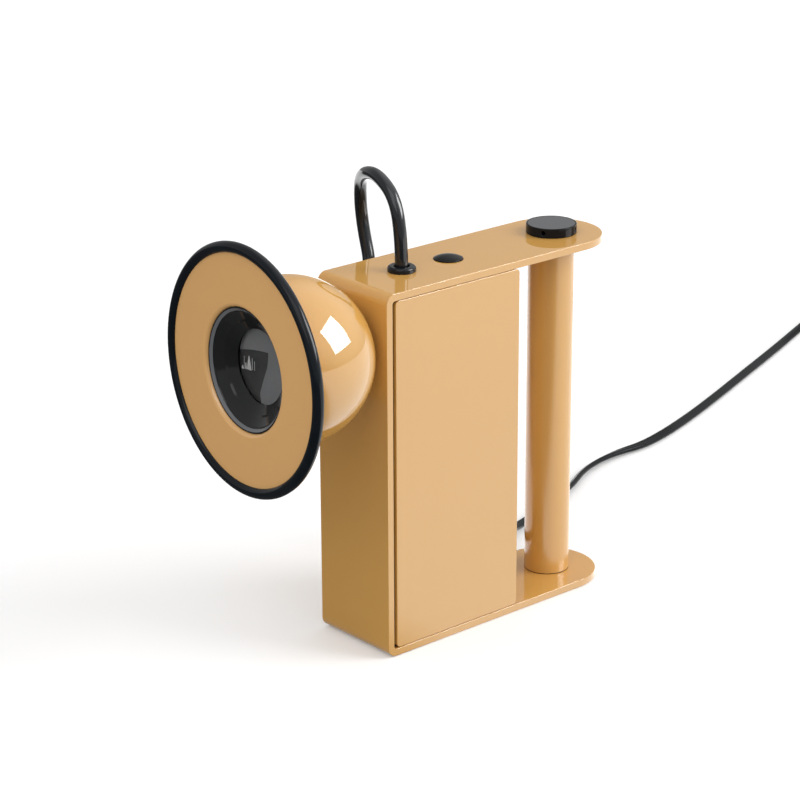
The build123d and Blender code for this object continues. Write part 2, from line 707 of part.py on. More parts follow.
def magnet_cup():
    start = PLATE + SEAT_FLANGE
    end = MAGNET_BACK + MAGNET_CUP_WALL
    z = BALL_Z
    cup = cylinder(SEAT_BORE + MAGNET_CUP_WALL, (start, 0, z), (end, 0, z))
    cup += seat_flange(start, MAGNET_CUP_FLANGE)
    cup -= cylinder(SEAT_BORE, (start - CUT, 0, z), (MAGNET_BACK, 0, z))
    flange_end = start + MAGNET_CUP_FLANGE
    for y, z_screw in seat_screw_places():
        cup -= cylinder(M3_PASSAGE, (start - CUT, y, z_screw), (flange_end + CUT, y, z_screw))
    return cup


def seat_screws():
    start = PLATE + SEAT_FLANGE + MAGNET_CUP_FLANGE
    reach = start - PLATE + SCREW_BITE
    screws = [pan_screw((start, y, z), (-1, 0, 0), reach) for y, z in seat_screw_places()]
    return sum(screws[1:], screws[0])


# ---- head, in the ball frame: centre of the ball, beam along -X

def ball_radius_at(x, radius):
    return math.sqrt(radius ** 2 - x ** 2)


def head_shell():
    shell = Sphere(BALL_RADIUS) - Sphere(BALL_RADIUS - BALL_WALL)
    shell -= block((-2 * BALL_RADIUS, -BALL_RADIUS, -BALL_RADIUS), (-FLANGE_BACK, BALL_RADIUS, BALL_RADIUS))
    shell -= cylinder(ELBOW_NECK + ELBOW_FIT, (0, BALL_RADIUS / 2, 0), (0, BALL_RADIUS + CUT, 0))
    return on_head(shell)


def flange_blank():
    flange = cylinder(FLANGE_RADIUS, (-FLANGE_FRONT, 0, 0), (-FLANGE_BACK, 0, 0))
    return flange - cylinder(APERTURE_RADIUS, (-FLANGE_FRONT - CUT, 0, 0), (-FLANGE_BACK + CUT, 0, 0))


def head_flange():
    flange = flange_blank()
    lip = [e for e in flange.edges() if e.geom_type == GeomType.CIRCLE
           and abs(e.center(CenterOf.BOUNDING_BOX).X + FLANGE_FRONT) < 0.01
           and abs(e.radius - APERTURE_RADIUS) < 0.01]
    return on_head(fillet(lip, APERTURE_LIP))


def rim_bead():
    ring = Plane.XZ * Pos(-BEAD_OFFSET, BEAD_CENTRE_RADIUS) * Circle(BEAD_RADIUS)
    return on_head(revolve(ring, Axis.X) - flange_blank())


def lamp_cup():
    """A sleeve with a bevelled mouth and a funnel that narrows to the window in front of the lamp."""
    socket = GLASS_RADIUS + GLASS_GAP
    socket_wall = socket + BOWL_WALL
    back_slope = (CUP_INSIDE - socket_wall) * FUNNEL_DEPTH / FUNNEL_WIDTH
    cup = turned([
        (-CUP_FRONT, CUP_OUTSIDE), (-CUP_FRONT, CUP_OUTSIDE - CUP_RIM), (-FUNNEL_FRONT, CUP_MOUTH),
        (-FUNNEL_BACK, WINDOW_RADIUS), (-GLASS_FRONT, WINDOW_RADIUS), (-GLASS_FRONT, socket),
        (-SOCKET_BACK, socket), (-SOCKET_BACK, socket_wall), (-SOCKET_BACK - back_slope, CUP_INSIDE),
        (-CUP_BACK, CUP_INSIDE), (-CUP_BACK, CUP_OUTSIDE)])
    return on_head(cup)


def cover_glass():
    """A round glass in the window's socket, its front a shallow dome that fills the window."""
    foot = WINDOW_RADIUS - GLASS_GAP
    radius = (foot ** 2 + GLASS_BULGE ** 2) / (2 * GLASS_BULGE)
    front = -GLASS_FRONT - GLASS_BULGE
    half = foot / 2
    dome = ThreePointArc((front, 0), (front + radius - (radius ** 2 - half ** 2) ** 0.5, half),
                         (-GLASS_FRONT, foot))
    face = make_face([dome] + [Edge.make_line(a, b) for a, b in (
        ((-GLASS_FRONT, foot), (-GLASS_FRONT, GLASS_RADIUS)),
        ((-GLASS_FRONT, GLASS_RADIUS), (-GLASS_BACK, GLASS_RADIUS)),
        ((-GLASS_BACK, GLASS_RADIUS), (-GLASS_BACK, 0)), ((-GLASS_BACK, 0), (front, 0)))])
    return on_head(revolve(Plane.XZ * face, Axis.X))


def reflector_bowl():
    mouth, neck = -BOWL_MOUTH, BOWL_NECK_X
    outer_neck = NECK_RADIUS + BOWL_WALL
    middle_x = (mouth + neck) / 2
    middle_r = (BOWL_RADIUS + NECK_RADIUS) / 2 + BOWL_SAG
    inside = ThreePointArc((mouth, BOWL_RADIUS), (middle_x + BOWL_SAG, middle_r), (neck, NECK_RADIUS))
    outside = ThreePointArc(
        (neck, outer_neck), (middle_x + BOWL_SAG + BOWL_WALL, middle_r + BOWL_WALL),
        (mouth + BOWL_RIM, BOWL_RADIUS + BOWL_WALL))
    outline = Wire([
        inside.edge(), Edge.make_line((neck, NECK_RADIUS), (neck + NECK_LENGTH, NECK_RADIUS)),
        Edge.make_line((neck + NECK_LENGTH, NECK_RADIUS), (neck + NECK_LENGTH, outer_neck)),
        Edge.make_line((neck + NECK_LENGTH, outer_neck), (neck, outer_neck)), outside.edge(),
        Edge.make_line((mouth + BOWL_RIM, BOWL_RADIUS + BOWL_WALL), (mouth + BOWL_RIM, GLASS_RADIUS)),
        Edge.make_line((mouth + BOWL_RIM, GLASS_RADIUS), (mouth, GLASS_RADIUS)),
        Edge.make_line((mouth, GLASS_RADIUS), (mouth, BOWL_RADIUS))])
    return on_head(revolve(Plane.XZ * make_face(outline), Axis.X))


def lamp_holder():
    start = BOWL_NECK_X
    back = start + NECK_LENGTH
    holder = cylinder(NECK_RADIUS - FIT, (start, 0, 0), (start + HOLDER_LENGTH, 0, 0))
    holder += cylinder(NECK_RADIUS + BOWL_WALL, (back, 0, 0), (back + HOLDER_FLANGE, 0, 0))
    return on_head(holder)


def capsule_end():
    return BOWL_NECK_X - CAPSULE_LENGTH + CAPSULE_RADIUS


def lamp_capsule():
    start, end = BOWL_NECK_X, capsule_end()
    outside = cylinder(CAPSULE_RADIUS, (start, 0, 0), (end, 0, 0)) + Pos(end, 0, 0) * Sphere(CAPSULE_RADIUS)
    inner = CAPSULE_RADIUS - CAPSULE_WALL
    inside = cylinder(inner, (start - CAPSULE_WALL, 0, 0), (end, 0, 0)) + Pos(end, 0, 0) * Sphere(inner)
    return on_head(outside - inside)


def lamp_emitter():
    start = BOWL_NECK_X - CAPSULE_WALL
    return on_head(cylinder(EMITTER_RADIUS, (start, 0, 0), (start - EMITTER_LENGTH, 0, 0)))


# ---- elbow on the far side of the ball, and the lead that loops to it

def lead_elbow():
    """Turns with the ball, and the ball tilts about its neck."""
    neck_start = elbow_nut_top() - ELBOW_NUT - BALL_GAP
    neck = cylinder(ELBOW_NECK, (0, neck_start, 0), (0, BALL_RADIUS + BALL_GAP, 0))
    stem = cylinder(ELBOW_RADIUS, (0, BALL_RADIUS + BALL_GAP, 0), (0, ELBOW_REACH, 0))
    knee = Pos(0, ELBOW_REACH, 0) * Sphere(ELBOW_RADIUS)
    arm = cone(ELBOW_ARM_ROOT, ELBOW_ARM_TIP, (0, ELBOW_REACH, 0), (ELBOW_ARM, ELBOW_REACH, 0))
    knee -= cylinder(ELBOW_RADIUS + CUT, (0, 0, 0), (0, BALL_RADIUS + BALL_GAP, 0))
    return on_elbow(neck + stem + knee + arm)


def elbow_nut_top():
    """The nut's corners clear the ball's inner wall by the ball gap."""
    return ball_radius_at(ELBOW_NUT_RADIUS, BALL_RADIUS - BALL_WALL) - BALL_GAP


def elbow_nut():
    top = elbow_nut_top()
    nut = hexagon(ELBOW_NUT_RADIUS, (0, top - ELBOW_NUT, 0), (0, top, 0))
    bore = cylinder(ELBOW_NECK + FASTENER_SLACK, (0, top - ELBOW_NUT - CUT, 0), (0, top + CUT, 0))
    return on_elbow(nut - bore)


def on_elbow_axis(reach):
    """A point on the axis of the elbow's arm, in the front wall frame."""
    a = math.radians(HEAD_TURN)
    x = BALL_X + reach * math.cos(a) - ELBOW_REACH * math.sin(a)
    y = reach * math.sin(a) + ELBOW_REACH * math.cos(a)
    return x, y, BALL_Z


def head_lead():
    start = (GROMMET_X, 0, TOP_INSIDE - GROMMET_LIP)
    loop = [(x, y, HEIGHT + z) for x, y, z in LEAD_ROUTE]
    run_in = [on_elbow_axis(ELBOW_ARM + LEAD_RUN_IN), on_elbow_axis(ELBOW_ARM)]
    return lead_tube([start] + loop + run_in, LEAD_DIAMETER, "head lead")


def lead_grommet():
    top, x = HEIGHT + GROMMET_HEIGHT, GROMMET_X
    collar = cylinder(GROMMET_RADIUS, (x, 0, HEIGHT), (x, 0, top))
    upper = [e for e in collar.edges() if abs(e.center().Z - top) < 0.01]
    collar = fillet(upper, GROMMET_ROUND)
    collar += cylinder(GROMMET_NECK, (x, 0, TOP_INSIDE), (x, 0, HEIGHT))
    collar += cylinder(GROMMET_RADIUS, (x, 0, TOP_INSIDE - GROMMET_LIP), (x, 0, TOP_INSIDE))
    collar -= cylinder(GROMMET_BORE, (x, 0, TOP_INSIDE - GROMMET_LIP), (x, 0, top))
    mouth = [e for e in collar.edges() if e.geom_type == GeomType.CIRCLE
             and abs(e.radius - GROMMET_BORE) < 0.01 and abs(e.center(CenterOf.BOUNDING_BOX).Z - top) < 0.01]
    return fillet(mouth, GROMMET_MOUTH)


def lead_ferrule():
    """Crimped on the lead inside the box, so that a pull can't draw it out."""
    top = TOP_INSIDE - GROMMET_LIP
    return cylinder(FERRULE_RADIUS, (GROMMET_X, 0, top - FERRULE_LENGTH), (GROMMET_X, 0, top))


# ---- mains lead, coil and plug

def mains_boot():
    y, z = MAINS_Y, MAINS_Z
    collar_end = REAR_BACK + BOOT_COLLAR
    boot = cylinder(BOOT_COLLAR_RADIUS, (REAR_BACK, y, z), (collar_end, y, z))
    boot += cone(BOOT_ROOT, BOOT_TIP, (collar_end, y, z), (collar_end + BOOT_LENGTH, y, z))
    boot += cylinder(BOOT_NECK, (REAR_FRONT - BOOT_NUT - CUT, y, z), (REAR_BACK, y, z))
    return boot


def boot_nut():
    y, z = MAINS_Y, MAINS_Z
    nut = hexagon(BOOT_NUT_RADIUS, (REAR_FRONT - BOOT_NUT, y, z), (REAR_FRONT, y, z))
    bore = BOOT_NECK + FASTENER_SLACK
    return nut - cylinder(bore, (REAR_FRONT - BOOT_NUT - CUT, y, z), (REAR_FRONT, y, z))


def boot_tip():
    """The middle of the boot's small end, with Z from the table."""
    return REAR_BACK + BOOT_COLLAR + BOOT_LENGTH, MAINS_Y, MAINS_Z + PAD_SHEET


def mains_lead():
    tube = lead_tube([boot_tip()] + MAINS_ROUTE, MAINS_DIAMETER, "mains lead")
    return Pos(0, 0, -PAD_SHEET) * tube


def mains_coil():
    """The outer shape of the put-away length: a ring of turns, flat on the table."""
    ring = cylinder(COIL_OUTSIDE, (COIL_X, COIL_Y, 0), (COIL_X, COIL_Y, COIL_HEIGHT))
    inner = COIL_MIDDLE_RADIUS - COIL_HALF_WIDTH
    ring -= cylinder(inner, (COIL_X, COIL_Y, -CUT), (COIL_X, COIL_Y, COIL_HEIGHT + CUT))
    ring = fillet(ring.edges().filter_by(GeomType.CIRCLE), COIL_ROUND)
    return Pos(0, 0, -PAD_SHEET) * ring


def plug_frame(shape):
    """Plug frame (cord end at the origin, pins along +X) to a tangent of the coil's outer turn."""
    a = math.radians(PLUG_ANGLE)
    r = COIL_OUTSIDE - MAINS_DIAMETER / 2
    place = Pos(COIL_X + r * math.cos(a), COIL_Y + r * math.sin(a), PLUG_HEIGHT / 2 - PAD_SHEET)
    return place * Rot(0, 0, PLUG_ANGLE - 90) * shape


def plug_body():
    h, tip = PLUG_HEIGHT / 2, MAINS_DIAMETER / 2
    start = COIL_HALF_WIDTH * 2
    tail_end = start + PLUG_TAIL
    end = tail_end + PLUG_LENGTH
    shoulder = PLUG_WIDTH / 2
    nose = shoulder - PLUG_NOSE / 2
    face = make_face(Polyline(
        (tail_end, -h), (tail_end + PLUG_LENGTH / 3, -shoulder), (end - PLUG_NOSE, -shoulder),
        (end, -nose), (end, nose), (end - PLUG_NOSE, shoulder),
        (tail_end + PLUG_LENGTH / 3, shoulder), (tail_end, h), close=True))
    body = extrude(face, h, both=True)
    body = fillet(body.edges().filter_by(Axis.Z), PLUG_CORNER)
    body = fillet([e for e in body.edges() if abs(abs(e.center().Z) - h) < 0.01], PLUG_EDGE)
    body += cone(tip, PLUG_TAIL_RADIUS, (start, 0, 0), (tail_end, 0, 0))
    body += cylinder(PLUG_TAIL_RADIUS, (tail_end, 0, 0), (tail_end + PLUG_TAIL_SEAT, 0, 0))
    return plug_frame(body)


def plug_pins():
    start = COIL_HALF_WIDTH * 2 + PLUG_TAIL + PLUG_LENGTH
    pins = []
    for side in (-1, 1):
        y = side * PIN_SPACING / 2
        end = start + PIN_LENGTH
        pin = cylinder(PIN_RADIUS, (start, y, 0), (end - PIN_RADIUS, y, 0))
        pins.append(pin + Pos(end - PIN_RADIUS, y, 0) * Sphere(PIN_RADIUS))
    return plug_frame(pins[0] + pins[1])


# ---- inside the box

def driver_box():
    end = DRIVER_END
    case = block((DRIVER_START, -DRIVER_HALF, PLATE), (end, DRIVER_HALF, PLATE + DRIVER_HEIGHT))
    case = fillet(case.edges().filter_by(Axis.Z), DRIVER_CORNER)
    ear = DRIVER_EAR
    ear_top = PLATE + DRIVER_EAR_SHEET
    case += block((DRIVER_START - ear, -ear, PLATE), (DRIVER_START + DRIVER_CORNER, ear, ear_top))
    case += block((end - DRIVER_CORNER, -ear, PLATE), (end + ear, ear, ear_top))
    for x, y in driver_screw_places():
        case -= cylinder(M3_PASSAGE, (x, y, PLATE - CUT), (x, y, ear_top + CUT))
    return case


def driver_screws():
    z = PLATE + DRIVER_EAR_SHEET
    reach = DRIVER_EAR_SHEET + SCREW_BITE
    screws = [pan_screw((x, y, z), (0, 0, -1), reach) for x, y in driver_screw_places()]
    return sum(screws[1:], screws[0])


def terminal_block():
    length, width, height = TERMINAL_SIZE
    x = (DRIVER_START + DRIVER_END) / 2
    z = PLATE + DRIVER_HEIGHT
    shape = block((x - length / 2, -width / 2, z), (x + length / 2, width / 2, z + height))
    for y in (-width / 4, width / 4):
        shape -= cylinder(M3_RADIUS, (x, y, z + height / 2), (x, y, z + height + CUT))
    return shape


PARTS = {
    "frame_strip": frame_strip(),
    "base_pad": base_pad(),
    "side_cover_near": side_cover(-1),
    "side_cover_far": side_cover(1),
    "rear_wall": rear_wall(),
    "cover_screws": cover_screws(),
    "rear_wall_screws": rear_wall_screws(),
    "handle_tube": handle_tube(),
    "handle_foot": handle_foot(),
    "handle_screw": handle_screw(),
    "dimmer_body": dimmer_body(),
    "dimmer_shaft": dimmer_shaft(),
    "dimmer_knob": dimmer_knob(),
    "knob_cap": knob_cap(),
    "knob_grub_screws": knob_grub_screws(),
    "push_button": push_button(),
    "switch_body": switch_body(),
    "switch_screws": switch_screws(),
    "button_spring": button_spring(),
    "ball_seat": ball_seat(),
    "seat_magnet": seat_magnet(),
    "magnet_cup": magnet_cup(),
    "seat_screws": seat_screws(),
    "head_shell": head_shell(),
    "head_flange": head_flange(),
    "rim_bead": rim_bead(),
    "lamp_cup": lamp_cup(),
    "cover_glass": cover_glass(),
    "reflector_bowl": reflector_bowl(),
    "lamp_holder": lamp_holder(),
    "lamp_capsule": lamp_capsule(),
    "lamp_emitter": lamp_emitter(),
    "lead_elbow": lead_elbow(),
    "elbow_nut": elbow_nut(),
    "head_lead": head_lead(),
    "lead_grommet": lead_grommet(),
    "lead_ferrule": lead_ferrule(),
    "mains_boot": mains_boot(),
    "boot_nut": boot_nut(),
    "mains_lead": mains_lead(),
    "mains_coil": mains_coil(),
    "plug_body": plug_body(),
    "plug_pins": plug_pins(),
    "driver_box": driver_box(),
    "driver_screws": driver_screws(),
    "terminal_block": terminal_block(),
}

for name, shape in PARTS.items():
    save_placed(name, shape)
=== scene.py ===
"""A tabletop searchlight lamp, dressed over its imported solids.

Lengths are in metres. Pieces are worked out in millimetres in the front wall's frame, X from the
wall's outer face to the rear, Y from the middle plane to the far side, Z from under the bottom
plate, and row() puts them into the row's frame.
"""
import math

import bpy
import numpy as np
from mathutils import Matrix


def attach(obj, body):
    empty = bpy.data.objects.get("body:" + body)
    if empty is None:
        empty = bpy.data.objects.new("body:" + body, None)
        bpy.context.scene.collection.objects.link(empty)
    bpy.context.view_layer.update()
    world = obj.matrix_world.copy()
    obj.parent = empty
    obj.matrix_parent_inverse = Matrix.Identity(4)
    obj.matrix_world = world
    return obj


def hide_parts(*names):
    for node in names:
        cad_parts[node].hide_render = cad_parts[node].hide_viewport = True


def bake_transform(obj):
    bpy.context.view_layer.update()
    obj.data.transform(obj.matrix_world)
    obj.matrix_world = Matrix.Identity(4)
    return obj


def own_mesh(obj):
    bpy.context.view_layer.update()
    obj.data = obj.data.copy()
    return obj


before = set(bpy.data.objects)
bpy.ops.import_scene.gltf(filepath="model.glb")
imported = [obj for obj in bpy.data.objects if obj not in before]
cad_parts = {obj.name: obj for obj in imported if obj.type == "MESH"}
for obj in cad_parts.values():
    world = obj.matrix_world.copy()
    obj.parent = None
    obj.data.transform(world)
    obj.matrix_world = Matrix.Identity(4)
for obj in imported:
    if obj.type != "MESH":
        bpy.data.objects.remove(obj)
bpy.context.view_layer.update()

MM = 0.001

# ---- sizes of the body, in millimetres
LENGTH, WIDTH, HEIGHT = 168.7, 55.0, 200.0
PLATE = 4.0
PAD_SHEET = 0.5
BALL_AT = np.array([-41.6, 0.0, 168.6])
HEAD_TURN, HEAD_TILT = math.radians(-3.0), math.radians(0.7)


def row(points):
    """Front wall frame in millimetres to the row's frame in metres."""
    return (np.asarray(points, float) + (-LENGTH / 2, 0.0, PAD_SHEET)) * MM


def link(data):
    """A new object of the same name that holds the data."""
    thing = bpy.data.objects.new(data.name, data)
    bpy.context.scene.collection.objects.link(thing)
    return thing


def stand(thing, *axes_and_place):
    """Puts a camera or a lamp at its place, given its own X, Y and Z and then the place itself."""
    matrix = np.eye(4)
    matrix[:3] = np.column_stack(axes_and_place)
    thing.matrix_world = Matrix(matrix.tolist())


# ---- camera, at the height and turn the lamp is seen from
CAMERA_AT = (-0.93490, -1.01719, 0.61600)
CAMERA_YAW, CAMERA_PITCH, CAMERA_ROLL = 40.96, -19.84, -0.27
CAMERA_SENSOR, CAMERA_LENS, CAMERA_REACH = 36.0, 122.84, (0.05, 50.0)


def add_camera():
    """A camera at its place, turned by yaw about Z, then by pitch, then by roll about its own line of sight."""
    yaw, pitch, roll = (math.radians(a) for a in (CAMERA_YAW, CAMERA_PITCH, CAMERA_ROLL))
    forward = np.array([math.sin(yaw) * math.cos(pitch), math.cos(yaw) * math.cos(pitch), math.sin(pitch)])
    right = np.array([math.cos(yaw), -math.sin(yaw), 0.0])
    up = np.cross(right, forward)
    across = math.cos(roll) * right + math.sin(roll) * up
    upward = -math.sin(roll) * right + math.cos(roll) * up
    data = bpy.data.cameras.new("camera")
    data.sensor_fit = "HORIZONTAL"
    data.sensor_width, data.lens = CAMERA_SENSOR, CAMERA_LENS
    data.clip_start, data.clip_end = CAMERA_REACH
    camera = link(data)
    stand(camera, across, upward, -forward, CAMERA_AT)
    bpy.context.scene.camera = camera


add_camera()


# ---- mesh helpers
WELDS_PER_METRE = 1e7


def skin(name, points):
    """A closed mesh from a grid of points, (rows, columns, 3) in metres.

    Equal points are welded, so seams and poles close by themselves, faces are turned outwards by the
    sign of the enclosed volume, and each corner's normal is the area-weighted mean of its faces.
    """
    points = np.asarray(points, float)
    rows, columns = points.shape[:2]
    flat = points.reshape(-1, 3)
    _, first, weld = np.unique(np.round(flat * WELDS_PER_METRE).astype(np.int64), axis=0,
                               return_index=True, return_inverse=True)
    weld = weld.reshape(rows, columns)
    vertices = flat[first]
    a, b = weld[:-1, :-1].ravel(), weld[1:, :-1].ravel()
    c, d = weld[1:, 1:].ravel(), weld[:-1, 1:].ravel()
    quads = np.stack([a, b, c, d], 1)
    following = np.roll(quads, -1, 1)
    doubled = (quads == following).sum(1)
    whole = quads[doubled == 0]
    pinched = quads[doubled == 1]
    keep = pinched != np.roll(pinched, -1, 1)
    thirds = pinched[keep].reshape(-1, 3)
    corners = np.concatenate([whole.ravel(), thirds.ravel()])
    sizes = np.concatenate([np.full(len(whole), 4), np.full(len(thirds), 3)])
    starts = np.concatenate([[0], np.cumsum(sizes)[:-1]])
    triangles = np.concatenate([whole[:, [0, 1, 2]], whole[:, [0, 2, 3]], thirds])
    p, q, r = (vertices[triangles[:, k]] for k in range(3))
    if np.einsum("ij,ij->i", p, np.cross(q, r)).sum() < 0:
        corners = np.concatenate([whole[:, ::-1].ravel(), thirds[:, ::-1].ravel()])
        triangles = triangles[:, ::-1]
        p, r = r, p
    facing = np.cross(q - p, r - p)
    normals = np.zeros_like(vertices)
    for k in range(3):
        np.add.at(normals, triangles[:, k], facing)
    normals /= np.maximum(np.linalg.norm(normals, axis=1, keepdims=True), 1e-20)
    mesh = bpy.data.meshes.new(name)
    mesh.vertices.add(len(vertices))
    mesh.vertices.foreach_set("co", vertices.ravel())
    mesh.loops.add(len(corners))
    mesh.loops.foreach_set("vertex_index", corners.astype(np.int32))
    mesh.polygons.add(len(sizes))
    mesh.polygons.foreach_set("loop_start", starts.astype(np.int32))
    mesh.update(calc_edges=True)
    mesh.validate()
    mesh.shade_smooth()
    mesh.normals_split_custom_set_from_vertices(normals.tolist())
    return link(mesh)


def rounded(corners, radii, steps):
    """A closed outline whose corners are arcs. Each arc touches both sides at radius / tan(half angle)."""
    corners = np.asarray(corners, float)
    radii = np.broadcast_to(np.asarray(radii, float), (len(corners),))
    outline = []
    for i, corner in enumerate(corners):
        back, ahead = corners[i - 1] - corner, corners[(i + 1) % len(corners)] - corner
        back, ahead = back / np.linalg.norm(back), ahead / np.linalg.norm(ahead)
        half = math.acos(np.clip(back @ ahead, -1, 1)) / 2
        if radii[i] <= 0 or half > math.pi / 2 - 1e-4:
            outline.append(corner[None])
            continue
        middle = (back + ahead) / np.linalg.norm(back + ahead)
        centre = corner + middle * radii[i] / math.sin(half)
        start = corner + back * radii[i] / math.tan(half) - centre
        finish = corner + ahead * radii[i] / math.tan(half) - centre
        sweep = math.acos(np.clip(start @ finish / radii[i] ** 2, -1, 1))
        turn = np.linspace(0, 1, steps + 1)[:, None] * sweep
        outline.append(centre + (np.sin(sweep - turn) * start + np.sin(turn) * finish) / math.sin(sweep))
    return np.concatenate(outline)


def full_turn(steps):
    """Angles round a circle, the last of them 0 again, so that its points weld with the first."""
    angle = np.linspace(0, 2 * math.pi, steps + 1)
    angle[-1] = 0.0
    return angle


def lathe(name, outline, place, turns=128, closed=True):
    """An outline of (distance along the axis, radius) turned about the axis; place() puts it in the row."""
    outline = np.asarray(outline, float)
    if closed:
        outline = np.concatenate([outline, outline[:1]])
    angle = full_turn(turns)
    along, radius = outline[:, 0][:, None], np.maximum(outline[:, 1], 0.0)[:, None]
    grid = np.stack([along + 0 * angle, radius * np.cos(angle), radius * np.sin(angle)], 2)
    return skin(name, place(grid))


def line_frames(line):
    """Side and up at each point of a line, the side carried along without twisting."""
    line = np.asarray(line, float)
    tangent = np.gradient(line, axis=0)
    tangent /= np.linalg.norm(tangent, axis=1, keepdims=True)
    side = np.cross(tangent[0], (0.0, 0.0, 1.0))
    if np.linalg.norm(side) < 1e-3:
        side = np.array([0.0, 1.0, 0.0])
    sides = np.empty_like(line)
    for i, direction in enumerate(tangent):
        side = side - direction * (side @ direction)
        side = side / np.linalg.norm(side)
        sides[i] = side
    return sides, np.cross(sides, tangent)


def capped(line, rings):
    """Rings along a line, with both ends closed on it."""
    first, last = (np.repeat(line[k][None, None], rings.shape[1], 1) for k in (0, -1))
    return np.concatenate([first, rings, last])


def round_bar(line, radius, sides):
    """A circle carried along a line: line + radius * (cos a * side + sin a * up), with closed ends.

    The radius is one number, or one for each point of the line.
    """
    side, up = line_frames(line)
    a = full_turn(sides)[None, :, None]
    radius = np.broadcast_to(radius, len(line))[:, None, None]
    return capped(line, line[:, None] + radius * (np.cos(a) * side[:, None] + np.sin(a) * up[:, None]))


def spline(name, points, u_resolution):
    """A bare NURBS curve with the points, in metres, as its control points."""
    data = bpy.data.curves.new(name, "CURVE")
    data.dimensions = "3D"
    line = data.splines.new("NURBS")
    line.points.add(len(points) - 1)
    line.points.foreach_set("co", np.column_stack([points, np.ones(len(points))]).ravel())
    line.order_u = 3
    line.use_endpoint_u = True
    data.resolution_u = u_resolution
    return link(data)


def evaluated(thing):
    """A new mesh of the piece or curve as its modifiers and settings make it."""
    bpy.context.view_layer.update()
    return bpy.data.meshes.new_from_object(thing.evaluated_get(bpy.context.evaluated_depsgraph_get()))


def line_of(curve):
    """The points that a bare curve follows, in metres; the curve is removed."""
    mesh = evaluated(curve)
    line = np.empty(3 * len(mesh.vertices))
    mesh.vertices.foreach_get("co", line)
    bpy.data.meshes.remove(mesh)
    bpy.data.objects.remove(curve)
    return line.reshape(-1, 3)


# ---- cords
LEAD_RADIUS = 3.5
LEAD_ROUTE = row([
    (34.0, 0.0, 194.5), (34.0, 0.0, 216.0), (35.4, 6.2, 237.0), (37.2, 22.0, 246.4), (42.5, 39.5, 243.6),
    (50.8, 53.0, 233.5), (55.3, 57.0, 211.0), (53.8, 46.0, 181.0), (30.0, 44.0, 164.5),
    (3.04, 49.23, 168.6), (-18.93, 50.38, 168.6)])
MAINS_ROUTE = [
    (111.0, 10.5, 20.5), (119.0, 10.5, 20.5), (127.2, 14.2, 19.8), (137.5, 25.5, 17.0), (149.0, 38.5, 11.5),
    (161.5, 50.0, 5.6), (178.0, 57.6, 2.8), (206.0, 68.3, 2.8), (238.0, 79.5, 2.8), (262.0, 93.5, 2.8),
    (283.0, 99.8, 2.8), (303.0, 102.3, 2.8), (322.0, 101.0, 2.8), (346.0, 105.5, 2.8), (385.0, 117.5, 2.8),
    (430.0, 134.0, 2.8), (478.0, 152.5, 2.8), (528.0, 171.5, 2.8), (575.0, 190.5, 2.8), (606.0, 203.0, 2.8)]
COIL_AT = (638.0, 178.0)
COIL_OUTER, COIL_INNER = 36.6, 24.6
COIL_LAYERS = (2.8, 8.4)
COIL_START = 104.0  # degrees
COIL_TURNS_IN, COIL_TURNS_OUT = 3.0, 3.0 + 164.0 / 360.0
COIL_STEPS_IN, COIL_STEPS_OUT, CLIMB_STEPS = 48, 55, 6
PLUG_TURN = math.radians(-60.0)
PLUG_HEIGHTS, PLUG_RUNS = (6.9, 6.85), (8.0, 19.0)
MAINS_WIDE, MAINS_THIN = 5.6, 3.4
GROOVE_DEPTH, GROOVE_WIDTH, FLATNESS = 0.16, 0.16, 4
MAINS_ROLL = ((0.0, -45), (0.05, -45), (0.12, 38), (0.20, 38), (0.27, -52), (0.45, -48), (0.56, -90), (3, -90))


def coil_turns():
    """Two layers of a flat spiral, wound clockwise: inwards on the table, then outwards on top.

    The radius falls evenly with the angle over three turns and rises again over the rest; the last
    point is on the plug's line.
    """
    points = []
    for i in range(COIL_STEPS_IN + COIL_STEPS_OUT + 1):
        inwards = min(i / COIL_STEPS_IN, 1.0)
        outwards = max(i - COIL_STEPS_IN, 0) / COIL_STEPS_OUT
        angle = math.radians(COIL_START) - 2 * math.pi * (COIL_TURNS_IN * inwards + COIL_TURNS_OUT * outwards)
        radius = COIL_OUTER - (COIL_OUTER - COIL_INNER) * (inwards - outwards)
        climb = min(max((i - COIL_STEPS_IN + 2) / CLIMB_STEPS, 0.0), 1.0)
        z = COIL_LAYERS[0] + (COIL_LAYERS[1] - COIL_LAYERS[0]) * climb
        points.append((COIL_AT[0] + radius * math.cos(angle), COIL_AT[1] + radius * math.sin(angle), z))
    x, y, _ = points.pop()
    away = math.sin(PLUG_TURN), -math.cos(PLUG_TURN)
    points.append((x, y, PLUG_HEIGHTS[0]))
    return points + [(x + away[0] * run, y + away[1] * run, PLUG_HEIGHTS[1]) for run in PLUG_RUNS]


